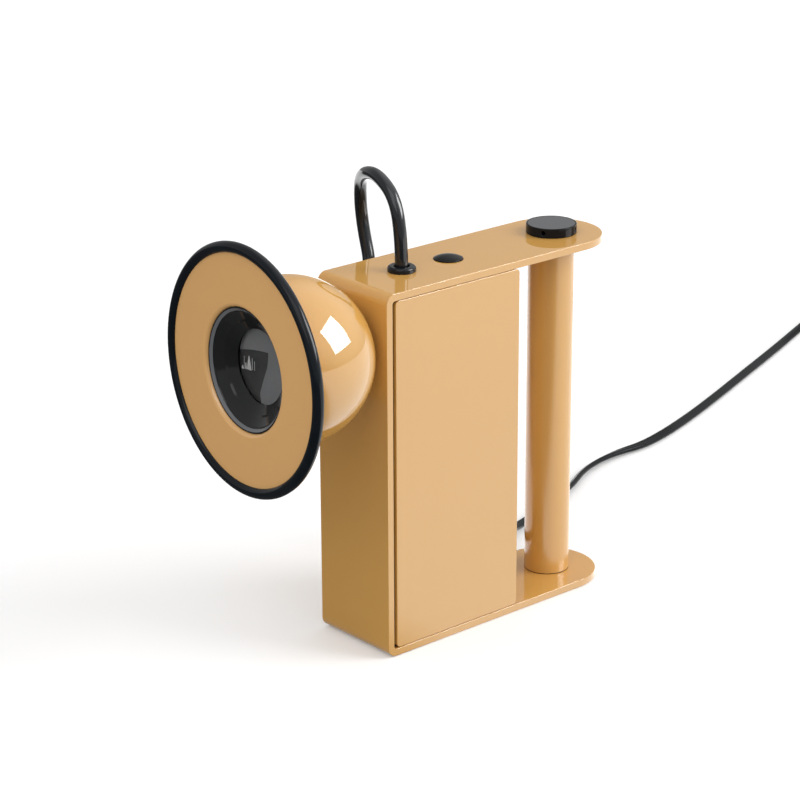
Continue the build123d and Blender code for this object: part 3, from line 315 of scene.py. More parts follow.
def flat_twin():
    """A flat twin lead's section along the mains line: a rounded bar with a groove down each face.

    Across, a point is (w - t) tanh(4 cos a) / tanh 4 + t cos a, where w and t are half the width and
    half the thickness. Upwards it is t sin a, less a dip that falls off as exp(-(cos a / 0.16)^2). The
    section rolls about the line by an angle that is interpolated over the length.
    """
    route = np.array(MAINS_ROUTE + coil_turns()) + (-LENGTH / 2, 0.0, 0.0)
    line = line_of(spline("mains_guide", route * MM, 6))
    side, up = line_frames(line)
    length = np.concatenate([[0.0], np.cumsum(np.linalg.norm(np.diff(line, axis=0), axis=1))])
    roll = np.radians(np.interp(length, *zip(*MAINS_ROLL)))[:, None, None]
    a = full_turn(28)
    wide = ((MAINS_WIDE - MAINS_THIN) / 2 * np.tanh(FLATNESS * np.cos(a)) / math.tanh(FLATNESS)
            + MAINS_THIN / 2 * np.cos(a))
    thin = MAINS_THIN / 2 * np.sin(a) * (1 - GROOVE_DEPTH * np.exp(-(np.cos(a) / GROOVE_WIDTH) ** 2))
    wide, thin = (wide * MM)[None, :, None], (thin * MM)[None, :, None]
    across = np.cos(roll) * side[:, None] + np.sin(roll) * up[:, None]
    upward = -np.sin(roll) * side[:, None] + np.cos(roll) * up[:, None]
    return skin("mains_cord", capped(line, line[:, None] + wide * across + thin * upward)), line


def round_lead():
    """A round tube along the lead's line, its ends closed on the line."""
    line = line_of(spline("lead_guide", LEAD_ROUTE, 12))
    return skin("loop_lead", round_bar(line, LEAD_RADIUS * MM, 32)), line


mains_cord, mains_line = flat_twin()
loop_lead, loop_line = round_lead()
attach(mains_cord, "base")
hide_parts("mains_lead", "mains_coil")
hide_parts("head_lead")
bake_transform(loop_lead)


# ---- finishes
DRIFT_SPAN = (0.3, 0.7)


def finish_of(name, colour, rough, mottle, rough_spread, grain, ior, metal=0.0):
    """A finish whose colour and roughness drift over the piece and whose surface has a fine grain.

    mottle is the drift's noise scale per metre and its share of the colour, grain the bump's noise
    scale, its height in metres and its strength. The noise between the two ends of DRIFT_SPAN covers
    the whole drift. A colour that doesn't drift stays on the shader's own socket.
    """
    material = bpy.data.materials.new(name)
    material.use_nodes = True
    nodes, links = material.node_tree.nodes, material.node_tree.links
    shader = nodes["Principled BSDF"]
    shader.inputs["Metallic"].default_value = metal
    shader.inputs["IOR"].default_value = ior
    place = nodes.new("ShaderNodeTexCoord")

    def noise(scale, detail):
        node = nodes.new("ShaderNodeTexNoise")
        node.inputs["Scale"].default_value, node.inputs["Detail"].default_value = scale, detail
        links.new(place.outputs["Object"], node.inputs["Vector"])
        return node.outputs["Fac"]

    drift = noise(mottle[0], 4.0)
    shader.inputs["Base Color"].default_value = (*colour, 1)
    if mottle[1]:
        shades = nodes.new("ShaderNodeValToRGB")
        for element, end, share in zip(shades.color_ramp.elements, DRIFT_SPAN, (1 - mottle[1], 1 + mottle[1])):
            element.position = end
            element.color = (*[min(c * share, 1) for c in colour], 1)
        links.new(drift, shades.inputs["Fac"])
        links.new(shades.outputs["Color"], shader.inputs["Base Color"])
    polish = nodes.new("ShaderNodeMapRange")
    polish.inputs["From Min"].default_value, polish.inputs["From Max"].default_value = DRIFT_SPAN
    polish.inputs["To Min"].default_value = max(rough - rough_spread, 0.0)
    polish.inputs["To Max"].default_value = rough + rough_spread
    links.new(drift, polish.inputs["Value"])
    links.new(polish.outputs["Result"], shader.inputs["Roughness"])
    bump = nodes.new("ShaderNodeBump")
    bump.inputs["Distance"].default_value, bump.inputs["Strength"].default_value = grain[1:]
    links.new(noise(grain[0], 3.0), bump.inputs["Height"])
    links.new(bump.outputs["Normal"], shader.inputs["Normal"])
    return material


OCHRE = (0.59, 0.319, 0.081)
# name, colour, rough, mottle, rough_spread, grain, ior and, for a metal, 1
FINISHES = {name: finish_of(name, *numbers) for name, *numbers in (
    ("ochre_paint", OCHRE, 0.035, (12.0, 0.012), 0.008, (450.0, 3e-6, 0.3), 1.75),
    ("tube_paint", OCHRE, 0.24, (12.0, 0.012), 0.02, (450.0, 3e-6, 0.3), 1.7),
    # the next finish is a lighter copy of the ochre for the head's disc: painted light, for the light that falls on
    # the disc
    ("disc_paint", (0.665, 0.375, 0.140), 0.12, (12.0, 0.012), 0.02, (450.0, 3e-6, 0.3), 1.7),
    ("black_rubber", (0.0055, 0.0075, 0.010), 0.085, (60.0, 0.25), 0.03, (1500.0, 8e-6, 0.3), 1.27),
    ("lead_sheath", (0.008, 0.0098, 0.012), 0.10, (40.0, 0.25), 0.03, (900.0, 6e-6, 0.3), 1.46),
    # the next finish is dark brown painted shade, for the strips in the covers' gaps and the ring under the tube
    ("seal_brown", (0.022, 0.013, 0.007), 0.55, (60.0, 0.2), 0.05, (1500.0, 1e-5, 0.3), 1.3),
    ("mains_sheath", (0.009, 0.010, 0.011), 0.30, (40.0, 0.2), 0.04, (900.0, 8e-6, 0.3), 1.15),
    ("gloss_rubber", (0.007, 0.008, 0.009), 0.16, (60.0, 0.2), 0.03, (900.0, 6e-6, 0.3), 1.30),
    ("gloss_black", (0.008, 0.008, 0.009), 0.07, (50.0, 0.2), 0.015, (700.0, 3e-6, 0.3), 1.19),
    ("funnel_black", (0.012, 0.0125, 0.013), 0.10, (50.0, 0.2), 0.02, (700.0, 4e-6, 0.3), 1.36),
    ("bezel_grey", (0.125, 0.130, 0.138), 0.2, (50.0, 0.08), 0.03, (900.0, 5e-6, 0.3), 1.5),
    ("satin_grey", (0.062, 0.064, 0.068), 0.32, (80.0, 0.06), 0.03, (2500.0, 8e-6, 0.4), 1.40),
    ("moulded_black", (0.012, 0.012, 0.013), 0.38, (60.0, 0.2), 0.05, (1800.0, 1.5e-5, 0.5), 1.35),
    ("zinc_plate", (0.62, 0.63, 0.65), 0.28, (160.0, 0.08), 0.08, (1200.0, 8e-6, 0.4), 1.5, 1.0),
    ("magnet_nickel", (0.55, 0.54, 0.52), 0.22, (120.0, 0.06), 0.05, (900.0, 6e-6, 0.3), 1.5, 1.0),
    ("reflector_grey", (0.10, 0.10, 0.105), 0.24, (60.0, 0.05), 0.04, (900.0, 1e-5, 0.4), 1.5, 1.0),
    # the next finish is near white, for the painted glints in the lens
    ("contact_metal", (0.94, 0.94, 0.93), 0.22, (700.0, 0.06), 0.1, (900.0, 2e-5, 0.5), 2.0),
    ("white_ceramic", (0.80, 0.79, 0.76), 0.45, (90.0, 0.06), 0.05, (900.0, 2e-5, 0.4), 1.5),
    ("lamp_wire", (0.85, 0.84, 0.82), 0.20, (200.0, 0.05), 0.05, (900.0, 6e-6, 0.3), 1.5, 1.0),
    ("brass_pin", (0.72, 0.55, 0.30), 0.22, (150.0, 0.08), 0.06, (900.0, 6e-6, 0.3), 1.5, 1.0),
    ("lamp_glass", (1.0, 1.0, 1.0), 0.02, (60.0, 0.0), 0.015, (300.0, 1e-6, 0.2), 1.25))}
FINISHES["lamp_glass"].node_tree.nodes["Principled BSDF"].inputs["Transmission Weight"].default_value = 1.0

NODES_BY_FINISH = {
    "ochre_paint": "frame_strip side_cover_near side_cover_far rear_wall handle_tube head_shell head_flange",
    "black_rubber": "base_pad lead_grommet rim_bead mains_boot",
    "zinc_plate": "cover_screws rear_wall_screws handle_foot handle_screw dimmer_shaft knob_grub_screws "
                  "switch_screws button_spring magnet_cup seat_screws lead_ferrule elbow_nut driver_screws",
    "moulded_black": "dimmer_body switch_body ball_seat lead_elbow boot_nut plug_body driver_box",
    "gloss_black": "dimmer_knob push_button",
    "satin_grey": "knob_cap",
    "magnet_nickel": "seat_magnet",
    "funnel_black": "lamp_cup",
    "lamp_glass": "cover_glass lamp_capsule",
    "reflector_grey": "reflector_bowl",
    "white_ceramic": "lamp_holder terminal_block",
    "lamp_wire": "lamp_emitter",
    "brass_pin": "plug_pins",
    "mains_sheath": "mains_lead mains_coil",
    "lead_sheath": "head_lead"}


def dress_nodes():
    """Each solid's slots get the finish that it is listed under."""
    for finish, names in NODES_BY_FINISH.items():
        for name in names.split():
            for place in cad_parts[name].material_slots:
                place.material = FINISHES[finish]


dress_nodes()
mains_cord.data.materials.append(FINISHES["mains_sheath"])
loop_lead.data.materials.append(FINISHES["lead_sheath"])


# ---- where the pieces' own frames lie, in millimetres
def turn_z(angle):
    return np.array([[math.cos(angle), -math.sin(angle), 0], [math.sin(angle), math.cos(angle), 0], [0, 0, 1]])


def turn_y(angle):
    return np.array([[math.cos(angle), 0, math.sin(angle)], [0, 1, 0], [-math.sin(angle), 0, math.cos(angle)]])


def on_head(points):
    """Ball frame, with the beam leaving along -X, to the row."""
    return row(points @ (turn_z(HEAD_TURN) @ turn_y(HEAD_TILT)).T + BALL_AT)


def on_elbow(points):
    """Ball frame for what turns with the head but doesn't tilt."""
    return row(points @ turn_z(HEAD_TURN).T + BALL_AT)


def upright(x):
    """A lathe's axis stood up at x on the middle plane."""
    return lambda grid: row(grid[..., [1, 2, 0]] + (x, 0.0, 0.0))


def arc(centre, radius, start, finish, steps):
    """Points on a circle in (along, radius), from one angle to the other, in degrees."""
    a = np.radians(np.linspace(start, finish, steps + 1))
    return np.column_stack([centre[0] + radius * np.cos(a), centre[1] + radius * np.sin(a)])


def crisp(thing, angle=32.0):
    """Edges sharper than the angle stay sharp, and normals lean to the larger faces."""
    thing.data.set_sharp_from_angle(angle=math.radians(angle))
    thing.modifiers.new("even_normals", "WEIGHTED_NORMAL").keep_sharp = True
    return thing


def drill(thing, tools):
    """Takes the closed tool meshes out of the piece and removes them."""
    for tool in tools:
        cut = thing.modifiers.new("hole", "BOOLEAN")
        cut.operation, cut.solver, cut.object = "DIFFERENCE", "EXACT", tool
    mesh = evaluated(thing)
    thing.modifiers.clear()
    old, thing.data = thing.data, mesh
    mesh.name = thing.name
    bpy.data.meshes.remove(old)
    for tool in tools:
        bpy.data.objects.remove(tool)
    mesh.shade_smooth()
    return crisp(thing)


def bar(low, high, radius, place):
    return lathe("tool", [(low, 0.0), (low, radius), (high, radius), (high, 0.0)], place, 72, closed=False)


def add(thing, body, finish, slot, *nodes):
    """A finished piece: its finish, its body, its slot and the solids that it stands for. The slot is not used."""
    thing.data.materials.clear()
    thing.data.materials.append(FINISHES[finish])
    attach(thing, body)
    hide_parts(*nodes)
    return thing


# ---- frame strip
HALF = WIDTH / 2
HANDLE_X = LENGTH - HALF
BEND = 5.6
PLATE_EDGE = 0.25
BUTTON_X, BUTTON_HOLE = 66.4, 8.0
GROMMET_X, GROMMET_HOLE = 34.0, 5.55
SHAFT_HOLE = 3.3
SEAT_HOLE = 17.0


def strip_side(way):
    """Stations down one side of the strip: outer face's middle line, normal and direction outwards."""
    level = np.linspace(HANDLE_X, BEND, 9)[1:]
    bend = np.radians(np.linspace(90, 180, 13))[1:]
    drop = np.linspace(HEIGHT - BEND, BEND, 9)[1:]
    turn = np.column_stack([np.cos(bend), 0 * bend, np.sin(bend)])
    low_turn = np.column_stack([np.cos(bend + math.pi / 2), 0 * bend, np.sin(bend + math.pi / 2)])
    middle = np.concatenate([
        np.column_stack([level, 0 * level, 0 * level + HEIGHT]),
        (BEND, 0, HEIGHT - BEND) + BEND * turn,
        np.column_stack([0 * drop, 0 * drop, drop]),
        (BEND, 0, BEND) + BEND * low_turn,
        np.column_stack([level[::-1][1:], 0 * level[1:], 0 * level[1:]])])
    normal = np.concatenate([
        np.tile((0.0, 0, 1), (8, 1)), turn, np.tile((-1.0, 0, 0), (8, 1)), low_turn, np.tile((0.0, 0, -1), (7, 1))])
    return middle, normal, np.tile((0.0, way, 0.0), (len(middle), 1))


def strip_nose(z, normal, start, finish):
    """Stations round the half circle about the handle's axis."""
    a = np.radians(np.linspace(start, finish, 65))
    middle = np.tile((HANDLE_X, 0.0, z), (65, 1))
    return middle, np.tile((0.0, 0.0, normal), (65, 1)), np.column_stack([np.cos(a), np.sin(a), 0 * a])


def make_strip():
    """The plate's section carried round the strip's outline: middle line + off * outwards - depth * normal.

    Both long sides start from the same middle line, which welds them, and each half round nose
    closes on the handle's axis.
    """
    far, near = strip_side(1.0), strip_side(-1.0)
    parts = [strip_nose(HEIGHT, 1.0, -90, 90), far, strip_nose(0.0, -1.0, 90, -90),
             tuple(values[::-1] for values in near)]
    middle, normal, outwards = (np.concatenate([p[k] for p in parts]) for k in range(3))
    middle, normal, outwards = (np.concatenate([v, v[:1]])[:, None] for v in (middle, normal, outwards))
    section = rounded([(0, 0), (HALF, 0), (HALF, PLATE), (0, PLATE)], [0, PLATE_EDGE, PLATE_EDGE, 0], 5)
    off, depth = section[:, 0][None, :, None], section[:, 1][None, :, None]
    strip = skin("frame_plate", row(middle + off * outwards - depth * normal))
    tools = [bar(HEIGHT - 10, HEIGHT + 5, r, upright(x)) for x, r in
             ((BUTTON_X, BUTTON_HOLE), (GROMMET_X, GROMMET_HOLE), (HANDLE_X, SHAFT_HOLE))]
    tools.append(bar(-5, 10, SEAT_HOLE, lambda grid: row(grid + (0.0, 0.0, BALL_AT[2]))))
    return drill(strip, tools)


add(make_strip(), "base", "ochre_paint", "painted_sheet", "frame_strip")


# ---- side covers
COVER_LOW, COVER_HIGH = (6.0, 4.35), (92.0, 195.65)
COVER_DEPTH, COVER_SHEET, COVER_CORNER, COVER_LEAST_CORNER = 9.5, 1.5, 2.4, 0.15
COVER_ROUNDINGS = (0, 0.3, 0.2, 0.2, 0.4, 0)


def make_cover(name, way):
    """A tray: rings of a rounded rectangle, each set in by an inset and down by a depth.

    A ring's corner arcs keep their centres as it is set in, down to a small radius, and an inset of
    half the width closes the face on its middle line.
    """
    half, centre = np.subtract(COVER_HIGH, COVER_LOW) / 2, np.add(COVER_LOW, COVER_HIGH) / 2
    section = rounded([(half[0], 0), (0, 0), (0, COVER_DEPTH), (COVER_SHEET, COVER_DEPTH),
                       (COVER_SHEET, COVER_SHEET), (half[0], COVER_SHEET)], COVER_ROUNDINGS, 5)
    inset, depth = section[:, 0][:, None], section[:, 1][:, None]
    corner = np.clip(COVER_CORNER - inset, COVER_LEAST_CORNER, None)
    corner[inset[:, 0] > half[0] - 1e-6] = 0.0
    a = np.radians(np.concatenate([np.linspace(k, k + 90, 7) for k in (0, 90, 180, 270)]))
    middle = np.radians(np.repeat((45, 135, 225, 315), 7))
    sign_x, sign_z = np.sign(np.cos(middle)), np.sign(np.sin(middle))
    x = sign_x * (half[0] - inset - corner) + corner * np.cos(a)
    z = sign_z * (half[1] - inset - corner) + corner * np.sin(a)
    y = way * (HALF - depth) + 0 * x
    grid = np.stack([x + centre[0], y, z + centre[1]], 2)
    return crisp(skin(name, row(np.concatenate([grid, grid[:, :1]], 1))), 40.0)


add(make_cover("near_cover", -1.0), "base", "ochre_paint", "painted_sheet", "side_cover_near")
add(make_cover("far_cover", 1.0), "base", "ochre_paint", "painted_sheet", "side_cover_far")

# the strips in the covers' gaps are painted shade: dark brown that stands in for the shade in the gaps
GAP_SHADE_LINE = np.array([  # X, Z, half the width, and the way outwards in X and Z
    (91.8, 195.82, 0.15, 0, 1), (91.8, 195.82, 0.15, 0, 1), (8.0, 195.82, 0.15, 0, 1), (5.0, 194.0, 0.95, -1, 0),
    (5.0, 6.0, 0.95, -1, 0), (8.0, 4.18, 0.15, 0, -1), (91.8, 4.18, 0.15, 0, -1), (91.8, 4.18, 0.15, 0, -1)])
GAP_SHADE_DEPTHS, GAP_SHADE_END = (1.9, 4.0), 3.0


def make_gap_shade(name, way):
    """A dark brown rounded strip set back in the gap round a cover, painted shade for the gap: one section carried
    round three sides, with closed ends.

    The line runs along the top, down the front and back along the bottom; at the front, where the
    gap is wider, the section is too.
    """
    x, z, half, outwards = GAP_SHADE_LINE[:, :1], GAP_SHADE_LINE[:, 1:2], GAP_SHADE_LINE[:, 2:3], GAP_SHADE_LINE[:, 3:]
    section = rounded([(-1, GAP_SHADE_DEPTHS[0]), (1, GAP_SHADE_DEPTHS[0]), (1, GAP_SHADE_DEPTHS[1]), (-1, GAP_SHADE_DEPTHS[1])], 0.3, 4)
    section = np.concatenate([section, section[:1]])
    across, depth = half * section[:, 0], section[:, 1] + 0 * x
    across[[0, -1]], depth[[0, -1]] = 0.0, GAP_SHADE_END
    return crisp(skin(name, row(np.stack([x + across * outwards[:, :1], way * (HALF - depth),
                                          z + across * outwards[:, 1:]], 2))))


# painted shade in the gaps round the covers
add(make_gap_shade("near_gap_shade", -1.0), "base", "seal_brown", "rubber")
add(make_gap_shade("far_gap_shade", 1.0), "base", "seal_brown", "rubber")


# ---- handle tube and the thin dark ring under it, painted shade where the tube meets the plate
TUBE_INSIDE, TUBE_OUTSIDE, TUBE_EDGE = 10.5, 12.5, 0.25
SHADE_RING_HEIGHT, SHADE_RING_INSIDE, SHADE_RING_OUTSIDE, SHADE_RING_EDGE = 0.35, 10.8, 12.4, 0.08


def make_ring(name, low, high, inside, outside, edge, steps):
    """A ring's section with softened edges, turned about the handle's axis."""
    section = rounded([(low, inside), (low, outside), (high, outside), (high, inside)], edge, steps)
    return crisp(lathe(name, section, upright(HANDLE_X), 160))


add(make_ring("handle", PLATE + SHADE_RING_HEIGHT, HEIGHT - PLATE, TUBE_INSIDE, TUBE_OUTSIDE, TUBE_EDGE, 4),
    "base", "tube_paint", "painted_sheet", "handle_tube")
# the thin ring under the tube is dark brown painted shade where the tube stands on the plate
add(make_ring("shade_ring", PLATE, PLATE + SHADE_RING_HEIGHT, SHADE_RING_INSIDE, SHADE_RING_OUTSIDE, SHADE_RING_EDGE, 3),
    "base", "seal_brown", "rubber")


# ---- knob, its cap and the button
KNOB_RADIUS, KNOB_LOW, KNOB_TOP, KNOB_BORE = 13.8, 200.2, 205.3, 3.1
CAP_RADIUS, CAP_DEPTH, CAP_SUNK, CAP_ROUNDING, CAP_GAP = 12.9, 0.6, 0.05, 0.15, 0.05
CAP_DISH = ((0.6, 0.02), (0.0, 0.03))  # share of the radius, and how far the face lies below its edge
GRUB_RADIUS, GRUB_Z = 1.3, 202.8
GRUB_ANGLES = (-152.5, -62.5)


def outwards_at(angle, z):
    """A lathe's axis laid level from the handle's axis at an angle, in degrees."""
    turn = turn_z(math.radians(angle))
    return lambda grid: row(grid @ turn.T + (HANDLE_X, 0.0, z))


def make_knob():
    """A low disc with a rounded upper edge and a recess for its cap, bored for two set screws."""
    low, top, seat = KNOB_LOW, KNOB_TOP, KNOB_TOP - CAP_DEPTH
    section = rounded([(low, KNOB_BORE), (low, KNOB_RADIUS), (top, KNOB_RADIUS), (top, CAP_RADIUS),
                       (seat, CAP_RADIUS), (seat, KNOB_BORE)],
                      [0.1, 0.25, 0.5, 0.12, 0.1, 0.1], 6)
    knob = lathe("dimmer_disc", section, upright(HANDLE_X), 160)
    return drill(knob, [bar(8.0, KNOB_RADIUS + 2, GRUB_RADIUS, outwards_at(a, GRUB_Z)) for a in GRUB_ANGLES])


def make_cap():
    """A thin satin disc, its face very slightly dished, with a rounded edge."""
    low, high, side = KNOB_TOP - CAP_DEPTH, KNOB_TOP - CAP_SUNK, CAP_RADIUS - CAP_GAP
    edge = arc((high - CAP_ROUNDING, side - CAP_ROUNDING), CAP_ROUNDING, 90, 0, 5)
    face = [(high - dip, CAP_RADIUS * share) for share, dip in CAP_DISH]
    return crisp(lathe("disc_cap", np.concatenate([[(low, 0.0), (low, side)], edge, face]),
                       upright(HANDLE_X), 160, closed=False))


BUTTON_RADIUS, BUTTON_TOP, BUTTON_EDGE, BUTTON_ROUNDING = 7.8, 202.4, 200.5, 0.3
SKIRT_LOW, SKIRT_ROUNDING = 197.4, 0.2
STEM_RADIUS, STEM_LOW = 2.4, 182.0


def make_button():
    """A domed cap on a skirt and stem: the dome is a sphere's cap that ends in a small rounded rim."""
    radius, top, edge, small = BUTTON_RADIUS, BUTTON_TOP, BUTTON_EDGE, BUTTON_ROUNDING
    sphere = (radius ** 2 + (top - edge) ** 2) / (2 * (top - edge))
    span = math.degrees(math.asin((radius - small) / sphere))
    dome = arc((top - sphere, 0.0), sphere, 0, span, 16)
    last = dome[-1]
    rim = arc((last[0] - small, radius - small), small, 10, 90, 6)
    section = np.concatenate([dome, rim, [
        (SKIRT_LOW + SKIRT_ROUNDING, radius), (SKIRT_LOW, radius - SKIRT_ROUNDING), (SKIRT_LOW, STEM_RADIUS),
        (STEM_LOW, STEM_RADIUS), (STEM_LOW, 0.0)]])
    return crisp(lathe("switch_button", section, upright(BUTTON_X), 128, closed=False))


SPRING_LOW, SPRING_HIGH = 185.0, SKIRT_LOW
SPRING_RADIUS, SPRING_WIRE, SPRING_TURNS, SPRING_FLAT = 4.4, 0.3, 5.0, 0.75
HAIR = 0.01


def make_press_spring():
    """A round wire on a helix: (R cos t, R sin t), level over the end turns and climbing evenly between."""
    turns = np.linspace(0, SPRING_TURNS, 161)
    climb = np.clip((turns - SPRING_FLAT) / (SPRING_TURNS - 2 * SPRING_FLAT), 0, 1)
    low, high = SPRING_LOW + SPRING_WIRE + HAIR, SPRING_HIGH - SPRING_WIRE - HAIR
    t = 2 * math.pi * turns
    line = np.column_stack([BUTTON_X + SPRING_RADIUS * np.cos(t), SPRING_RADIUS * np.sin(t),
                            low + (high - low) * climb])
    return crisp(skin("press_spring", row(round_bar(line, SPRING_WIRE, 12))), 50.0)


spring = add(make_press_spring(), "base", "zinc_plate", "zinc", "button_spring")
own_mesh(spring)
add(make_knob(), "dimmer", "gloss_black", "black_plastic", "dimmer_knob")
add(make_cap(), "dimmer", "satin_grey", "grey_cap", "knob_cap")
add(make_button(), "button", "gloss_black", "black_plastic", "push_button")


# ---- head
BALL_RADIUS, BALL_WALL, ELBOW_HOLE = 43.8, 1.5, 6.08
FLANGE_BACK, FLANGE_FRONT, FLANGE_RADIUS, APERTURE, APERTURE_LIP = 26.2, 28.6, 63.2, 32.4, 2.3


def make_ball():
    """Two arcs about the ball's centre, cut off at the flange, turned about the beam and bored for the elbow."""
    def edge(radius):
        return math.degrees(math.acos(-FLANGE_BACK / radius))
    outside = arc((0, 0), BALL_RADIUS, 0, edge(BALL_RADIUS), 72)
    inside = arc((0, 0), BALL_RADIUS - BALL_WALL, edge(BALL_RADIUS - BALL_WALL), 0, 48)
    ball = lathe("ball", np.concatenate([outside, inside]), on_head, 160, closed=False)
    hole = bar(30.0, 60.0, ELBOW_HOLE, lambda grid: on_head(grid[..., [1, 0, 2]] * (1, 1, -1)))
    return drill(ball, [hole])


def make_flange():
    """A flat disc whose front inner edge rolls into the aperture."""
    section = rounded([(-FLANGE_FRONT, APERTURE), (-FLANGE_FRONT, FLANGE_RADIUS), (-FLANGE_BACK, FLANGE_RADIUS),
                       (-FLANGE_BACK, APERTURE)], [APERTURE_LIP, 0.2, 0.2, 0.05], 10)
    return crisp(lathe("head_disc", section, on_head, 256), 40.0)


BEAD_OFFSET, BEAD_CENTRE, BEAD_RADIUS = 27.8, 62.7, 2.97


def make_bead():
    """A round section with a slot that grips the disc's edge, turned about the beam."""
    def meet(x):
        return math.degrees(math.atan2(-math.sqrt(BEAD_RADIUS ** 2 - (x + BEAD_OFFSET) ** 2), x + BEAD_OFFSET))
    round_side = arc((-BEAD_OFFSET, BEAD_CENTRE), BEAD_RADIUS, meet(-FLANGE_FRONT) + 360, meet(-FLANGE_BACK), 56)
    slot = [(-FLANGE_BACK, FLANGE_RADIUS), (-FLANGE_FRONT, FLANGE_RADIUS)]
    return crisp(lathe("rim", np.concatenate([round_side, slot]), on_head, 256), 40.0)


add(make_ball(), "head", "ochre_paint", "painted_head", "head_shell")
# the head's disc takes the lighter ochre, painted light
add(make_flange(), "head", "disc_paint", "painted_head", "head_flange")
add(make_bead(), "head", "black_rubber", "rubber", "rim_bead")


# ---- the lamp in the aperture: a bezel, a funnel with one step, the glass, the reflector, and behind the glass a disc and strokes with painted reflections and glints
CUP_OUTSIDE, CUP_INSIDE, CUP_FRONT, CUP_BACK = 32.2, 30.8, 26.9, 12.0
BEZEL_OUT, BEZEL_IN, BEZEL_BACK = 31.7, 29.5, 25.15
WINDOW, WINDOW_FRONT, GLASS_FRONT, GLASS_BACK, BOWL_MOUTH = 19.5, 17.6, 17.0, 16.4, 15.0
GLASS_BULGE, GLASS_EDGE, GLASS_CHAMFER = 1.2, 20.7, 0.1
SOCKET, SOCKET_BACK = 20.8, 14.0
BOWL_LIP, BOWL_WALL, BOWL_START, NECK_START, NECK_END, NECK = 20.65, 1.2, 19.0, 6.0, 10.0, 9.0
BOWL_INSIDE, BOWL_OUTSIDE = (-2.1, 16.4), (-0.9, 17.6)  # points on the way along the two arcs
FUNNEL = (  # distance along the beam, radius, and the corner's rounding
    (-CUP_FRONT, CUP_OUTSIDE, 0.15), (-CUP_FRONT, BEZEL_OUT, 0.1), (-BEZEL_BACK + 0.22, BEZEL_IN + 0.2, 0.1),
    (-BEZEL_BACK + 0.3, BEZEL_IN - 0.1, 0.3), (-21.9, 25.0, 1.4), (-20.9, 23.95, 1.4), (-WINDOW_FRONT, WINDOW, 0.25),
    (-GLASS_FRONT, WINDOW, 0.2), (-GLASS_FRONT, SOCKET, 0.05), (-SOCKET_BACK, SOCKET, 0.05),
    (-SOCKET_BACK, 22.0, 0.05), (-7.4, CUP_INSIDE, 0.05), (-CUP_BACK, CUP_INSIDE + 0.02, 0.05),
    (-CUP_BACK, CUP_OUTSIDE, 0.05))
BEZEL = ((-26.80, 31.62), (-25.62, 30.13), (-25.32, 30.19), (-26.55, 31.74))


def make_funnel():
    """The cup's section turned about the beam: a thin rim, the funnel's slope, the window and the socket."""
    section = rounded([corner[:2] for corner in FUNNEL], [corner[2] for corner in FUNNEL], 5)
    return crisp(lathe("lamp_funnel", section, on_head, 192))


def make_bezel():
    """A thin conical ring let into the funnel's bevel."""
    return crisp(lathe("lamp_bezel", rounded(BEZEL, 0.08, 4), on_head, 192))


def arc_through(first, middle, last, steps):
    """Points on the circle through three points in (along, radius)."""
    (ax, ay), (bx, by), (cx, cy) = first, middle, last
    d = 2 * (ax * (by - cy) + bx * (cy - ay) + cx * (ay - by))
    ux = ((ax**2 + ay**2) * (by - cy) + (bx**2 + by**2) * (cy - ay) + (cx**2 + cy**2) * (ay - by)) / d
    uy = ((ax**2 + ay**2) * (cx - bx) + (bx**2 + by**2) * (ax - cx) + (cx**2 + cy**2) * (bx - ax)) / d
    start, finish = (math.degrees(math.atan2(y - uy, x - ux)) for x, y in (first, last))
    return arc((ux, uy), math.hypot(ax - ux, ay - uy), start, finish, steps)


def make_glass():
    """A round glass: a shallow sphere's cap in front, flat behind, its edge in the socket."""
    foot = WINDOW - 0.1
    sphere = (foot ** 2 + GLASS_BULGE ** 2) / (2 * GLASS_BULGE)
    top = math.degrees(math.asin(foot / sphere))
    dome = arc((-GLASS_FRONT - GLASS_BULGE + sphere, 0), sphere, 180, 180 - top, 24)
    inner, chamfer = GLASS_EDGE - GLASS_CHAMFER, GLASS_CHAMFER
    edge = [(-GLASS_FRONT, inner), (-GLASS_FRONT + chamfer, GLASS_EDGE), (-GLASS_BACK - chamfer, GLASS_EDGE),
            (-GLASS_BACK, inner), (-GLASS_BACK, 0.0)]
    return crisp(lathe("lamp_window", np.concatenate([dome, edge]), on_head, 160, closed=False))


def make_bowl():
    """The reflector: an arc from mouth to neck, a straight neck, and the same again one wall further out."""
    inside = arc_through((-BOWL_MOUTH, BOWL_START), BOWL_INSIDE, (NECK_START, NECK), 40)
    outside = arc_through((NECK_START, NECK + BOWL_WALL), BOWL_OUTSIDE, (-SOCKET_BACK, BOWL_START + BOWL_WALL), 32)
    section = np.concatenate([inside, [(NECK_END, NECK), (NECK_END, NECK + BOWL_WALL)], outside,
                              [(-SOCKET_BACK, BOWL_LIP), (-BOWL_MOUTH, BOWL_LIP)]])
    return crisp(lathe("reflector", section, on_head, 160))


# a thin disc behind the window carries painted reflections: dark grey for dark things, a lighter grey crescent for
# the softbox
SHIELD_RADIUS, SHIELD_FRONT, SHIELD_BACK = 20.5, -15.3, -15.06
CRESCENT_SIDE = ((-21.0, -15.0, -7.0, 0.0, 4.0, 8.0), (1.8, 2.8, -0.6, -3.7, -4.4, -4.6))  # Z, then Y at that Z
CRESCENT_BLUR = 0.2


